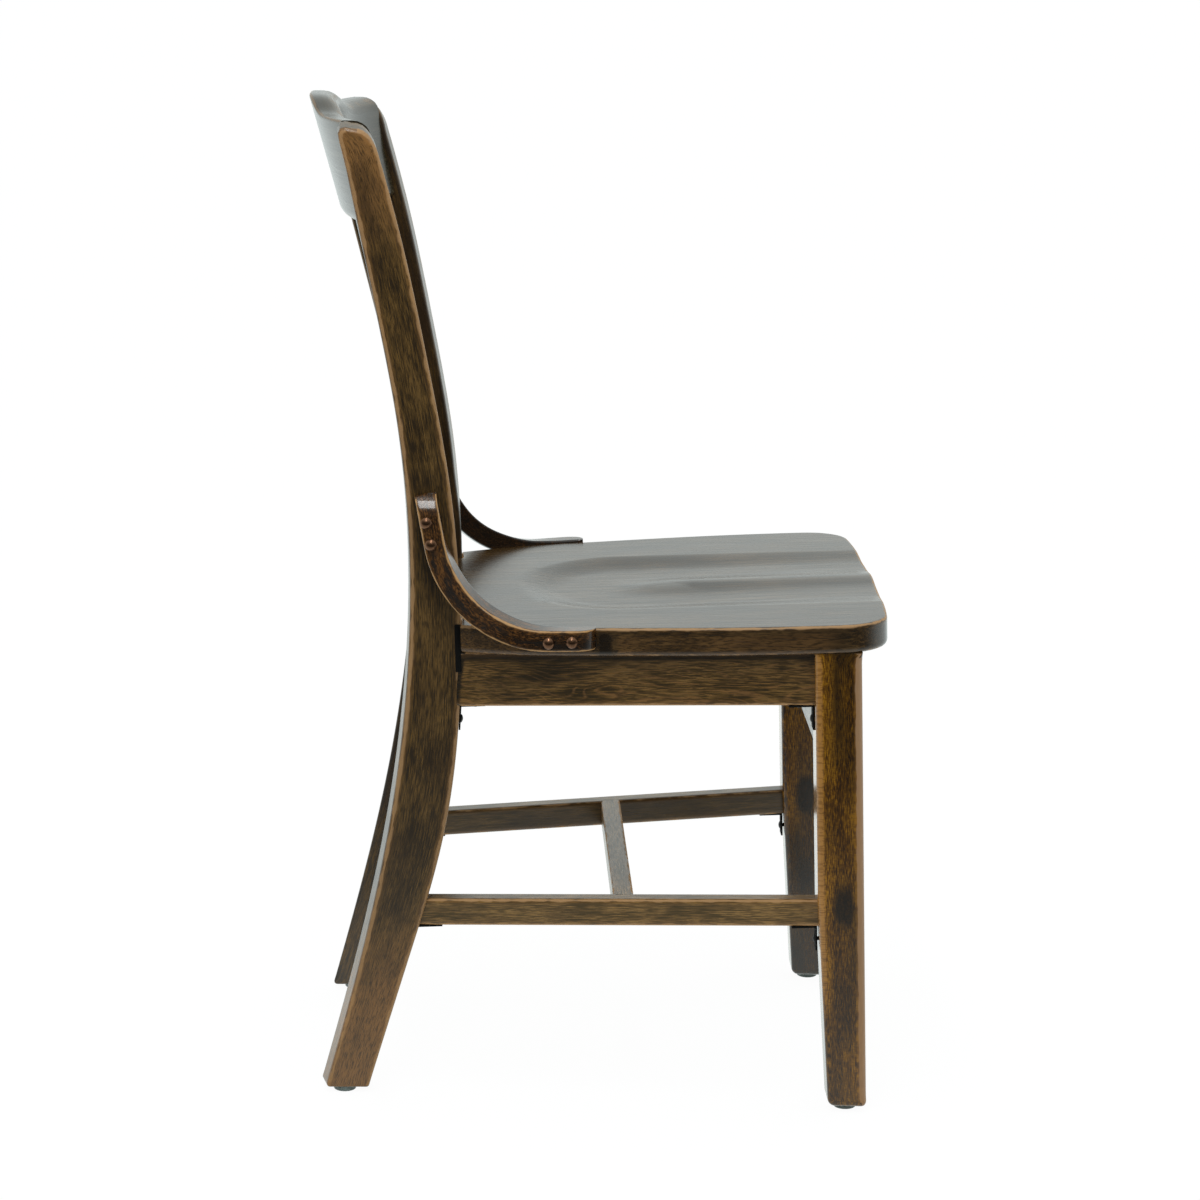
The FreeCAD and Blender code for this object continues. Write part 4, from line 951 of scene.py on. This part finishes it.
def brace_inner_x(y, z):
    """The inner face's x: the plan curve at the centre line's point at the same angle of the bend."""
    line, centre = brace_line()
    turn = np.arctan2(line[:, 1] - centre[1], line[:, 0] - centre[0])
    line_y = np.interp(np.arctan2(z - centre[1], y - centre[0]), turn[::-1], line[::-1, 0])
    plan = curve_through(BRACE_PLAN, BRACE_PLAN_STEPS)
    return np.interp(line_y, plan[:, 1], plan[:, 0])


def dress_brace(side, node, seed):
    """The centre line shifted to both sides, as thick as the plan gives, with quarter-round noses.

    The bar twists in its bend: the inner face moves towards the bend's centre by a share of the depth.
    """
    line, centre = brace_line()
    way = np.gradient(line, axis=0)
    way /= np.linalg.norm(way, axis=1, keepdims=True)
    across = np.column_stack([-way[:, 1], way[:, 0]]) * (BRACE_FACE / 2.0)

    def place(y, z, w):
        """Thins the bar along a quarter circle at its ends, and shifts it along the bend's radius."""
        to_end = np.clip(np.minimum(y - BRACE_TIP[0], BRACE_TOP[1] - z), 0.0, BRACE_NOSE)
        lost = BRACE_NOSE - np.sqrt(BRACE_NOSE ** 2 - (BRACE_NOSE - to_end) ** 2)
        thick = (BRACE_THICK - w) * (1.0 - lost / BRACE_THICK)
        twist = BRACE_TWIST * (w / BRACE_THICK) * ramp(z, BRACE_TWIST_Z) * ramp(y, BRACE_TWIST_Y)
        away = np.hypot(centre[0] - y, centre[1] - z)
        return np.stack([side * (brace_inner_x(y, z) + thick), y + twist * (centre[0] - y) / away,
                         z + twist * (centre[1] - z) / away], axis=-1)

    def stain(along, across, through):
        """The darker of the inner face's scorch and a darkening at the tip."""
        return np.maximum(mark(through, *BRACE_DARK), mark(along, *BRACE_TIP_DARK))

    board(node, (line - across, line + across), BRACE_THICK, BRACE_ROUNDS, place, BRACE_WOOD, seed,
          slot="brace_wood", ends=(1.0, 1.0), second_fresh=FRESH, stain=stain)


def dress_bolts(side, node):
    """Domed heads: a short collar under the cap of a ball, on a stub of shank, turned about X.

    The ball's radius is the sum of the squares of head radius and cap height over twice that height.
    """
    cap = BOLT_CAP_SHARE * BOLT_HEAD_H
    ball = (BOLT_HEAD_R ** 2 + cap ** 2) / (2.0 * cap)
    sweep = np.linspace(math.asin(BOLT_HEAD_R / ball), BOLT_POLE, BOLT_DOME_STEPS)
    dome = np.column_stack([ball * np.sin(sweep), BOLT_HEAD_H - ball + ball * np.cos(sweep)])
    (shank_r, shank_h), (collar_r, collar_h) = BOLT_SHANK, BOLT_COLLAR
    stub = [(BOLT_POLE, shank_h), (shank_r, shank_h), (shank_r, collar_h), (collar_r, collar_h)]
    r, h = np.concatenate([stub, dome]).T[:, :, None]
    turn = np.linspace(0.0, 2.0 * math.pi, BOLT_TURN_STEPS, endpoint=False)
    head = np.stack([h + 0.0 * turn, r * np.cos(turn), r * np.sin(turn)], axis=-1)
    index = np.arange(head[..., 0].size).reshape(head.shape[:2])
    rings = wrapped(index)
    points, faces = [], []
    for i, (y, z) in enumerate(BRACE_BOLTS):
        at = [brace_inner_x(y, z) + BRACE_THICK + BOLT_STAND, y, z]
        points.append((head + at).reshape(-1, 3) * [side, 1.0, 1.0])
        faces += (quads(rings) + i * index.size).tolist()
        faces += (index[[0, -1]] + i * index.size).tolist()
    lay(node + "_heads", node, np.concatenate(points), faces, BOLT_BRONZE, "bolt_bronze")


def dress_chair():
    """Every wooden piece and bolt as its own surface, and the finishes of the small solids."""
    dress_seat()
    dress_crest()
    dress_back_filling()
    dress_cross_rails()
    for side, hand, seed in ((1.0, "left", 1.0), (-1.0, "right", 2.0)):
        dress_post(side, "back_post_" + hand, seed)
        dress_leg(side, "front_leg_" + hand, seed + 0.3)
        dress_side_rails(side, hand, seed)
        dress_plate(side, "seat_plate_" + hand)
        dress_brace(side, "hip_brace_" + hand, seed + 0.9)
        dress_bolts(side, "hip_brace_bolts_" + hand)
    finishes = (("bracket_screws", SCREW_BLACK), ("bracket", BRACKET_BLACK),
                ("glide_nails", ZINC), ("glide", GLIDE_GREY), ("seat_screws", ZINC), ("dowels", BEECH))
    for name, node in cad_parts.items():
        fitting = [finish for word, finish in finishes if word in name]
        if fitting:
            node.data.materials.clear()
            node.data.materials.append(fitting[0])


def set_floor():
    """A white sweep. The camera and the gloss of the wood see it lit; towards the camera it darkens."""
    mesh = bpy.data.meshes.new("floor")
    corners = [(FLOOR_REACH * x, FLOOR_REACH * y, 0.0) for x, y in ((-1, -1), (1, -1), (1, 1), (-1, 1))]
    mesh.from_pydata(corners, [], [(0, 1, 2, 3)])
    floor = put("floor", mesh)
    material, tree, shader = new_material("matt white studio floor")
    shader.inputs["Roughness"].default_value = 1.0
    shader.inputs["Specular IOR Level"].default_value = 0.0
    shader.inputs["Base Color"].default_value = linear(FLOOR_WHITE)
    away = add(tree, "SeparateXYZ", out="X", in_0=add(tree, "TexCoord", out="Object"))
    lit = add(tree, "MapRange", Value=away, From_Min=SWEEP_END[0], From_Max=SWEEP_END[1],
              To_Max=SWEEP_LIGHT)
    camera, glossy, through = (add(tree, "LightPath", out="Is " + ray + " Ray")
                               for ray in ("Camera", "Glossy", "Transmission"))
    strength = add(tree, "Mix", in_0=camera, in_2=lit, in_3=SWEEP_SEEN)
    share = add(tree, "Math", operation="MAXIMUM", in_0=camera, in_1=glossy)
    share = add(tree, "Math", operation="MAXIMUM", in_0=share, in_1=through)
    share = add(tree, "Math", operation="MULTIPLY", in_0=share, in_1=SWEEP_SHARE)
    tint = add(tree, "Mix", data_type="RGBA", in_0=camera, in_6=STUDIO_TINT, in_7=(1.0, 1.0, 1.0, 1.0))
    glow = add(tree, "Emission", Color=tint, Strength=strength)
    mix = add(tree, "MixShader", in_0=share, in_1=shader.outputs[0], in_2=glow)
    tree.links.new(tree.nodes["Material Output"].inputs["Surface"], mix)
    mesh.materials.append(material)


def set_light():
    """A white surround, bright behind and above and dim on the camera's side, and a strip lamp."""
    world = bpy.data.worlds.new("white studio")
    bpy.context.scene.world = world
    world.use_nodes = True
    tree = world.node_tree
    way = add(tree, "TexCoord", out="Generated")
    fades = ("X", SURROUND_BEHIND, SURROUND_DIM), ("Z", SURROUND_ABOVE, 0.0)
    behind, above = (add(tree, "MapRange", interpolation_type="SMOOTHSTEP", From_Min=start, From_Max=full,
                         To_Min=least, To_Max=SURROUND_FULL,
                         Value=add(tree, "SeparateXYZ", out=axis, in_0=way))
                     for axis, (start, full), least in fades)
    level = add(tree, "Math", operation="MAXIMUM", in_0=behind, in_1=above)
    level = add(tree, "Mix", in_0=add(tree, "LightPath", out="Is Camera Ray"), in_2=level, in_3=1.0)
    shell = tree.nodes["Background"]
    shell.inputs["Color"].default_value = STUDIO_TINT
    tree.links.new(shell.inputs["Strength"], level)
    lamp = bpy.data.lights.new("strip softbox", "AREA")
    lamp.shape = "RECTANGLE"
    lamp.size, lamp.size_y = LAMP_SIZE
    lamp.energy = LAMP_WATTS
    softbox = put("strip softbox", lamp)
    softbox.location = LAMP_AT
    softbox.rotation_euler = (0.0, LAMP_TURN, 0.0)


def set_camera():
    """The photograph's view: yaw and pitch give the view direction, roll turns right and up about it."""
    yaw, pitch, roll = (math.radians(a) for a in (CAMERA_YAW, CAMERA_PITCH, CAMERA_ROLL))
    look = np.array([math.cos(pitch) * math.cos(yaw), math.cos(pitch) * math.sin(yaw), -math.sin(pitch)])
    right = np.cross(look, [0.0, 0.0, 1.0])
    right /= np.linalg.norm(right)
    up = np.cross(right, look)
    right, up = right * math.cos(roll) - up * math.sin(roll), right * math.sin(roll) + up * math.cos(roll)
    data = bpy.data.cameras.new("camera")
    data.lens = CAMERA_LENS
    data.sensor_width = SENSOR
    camera = put("camera", data)
    matrix = np.eye(4)
    matrix[:3] = np.column_stack([right, up, -look, CAMERA_AT])
    camera.matrix_world = Matrix(matrix.tolist())
    bpy.context.scene.camera = camera


dress_chair()
set_floor()
set_light()
set_camera()
bpy.context.scene.view_settings.view_transform = "Standard"
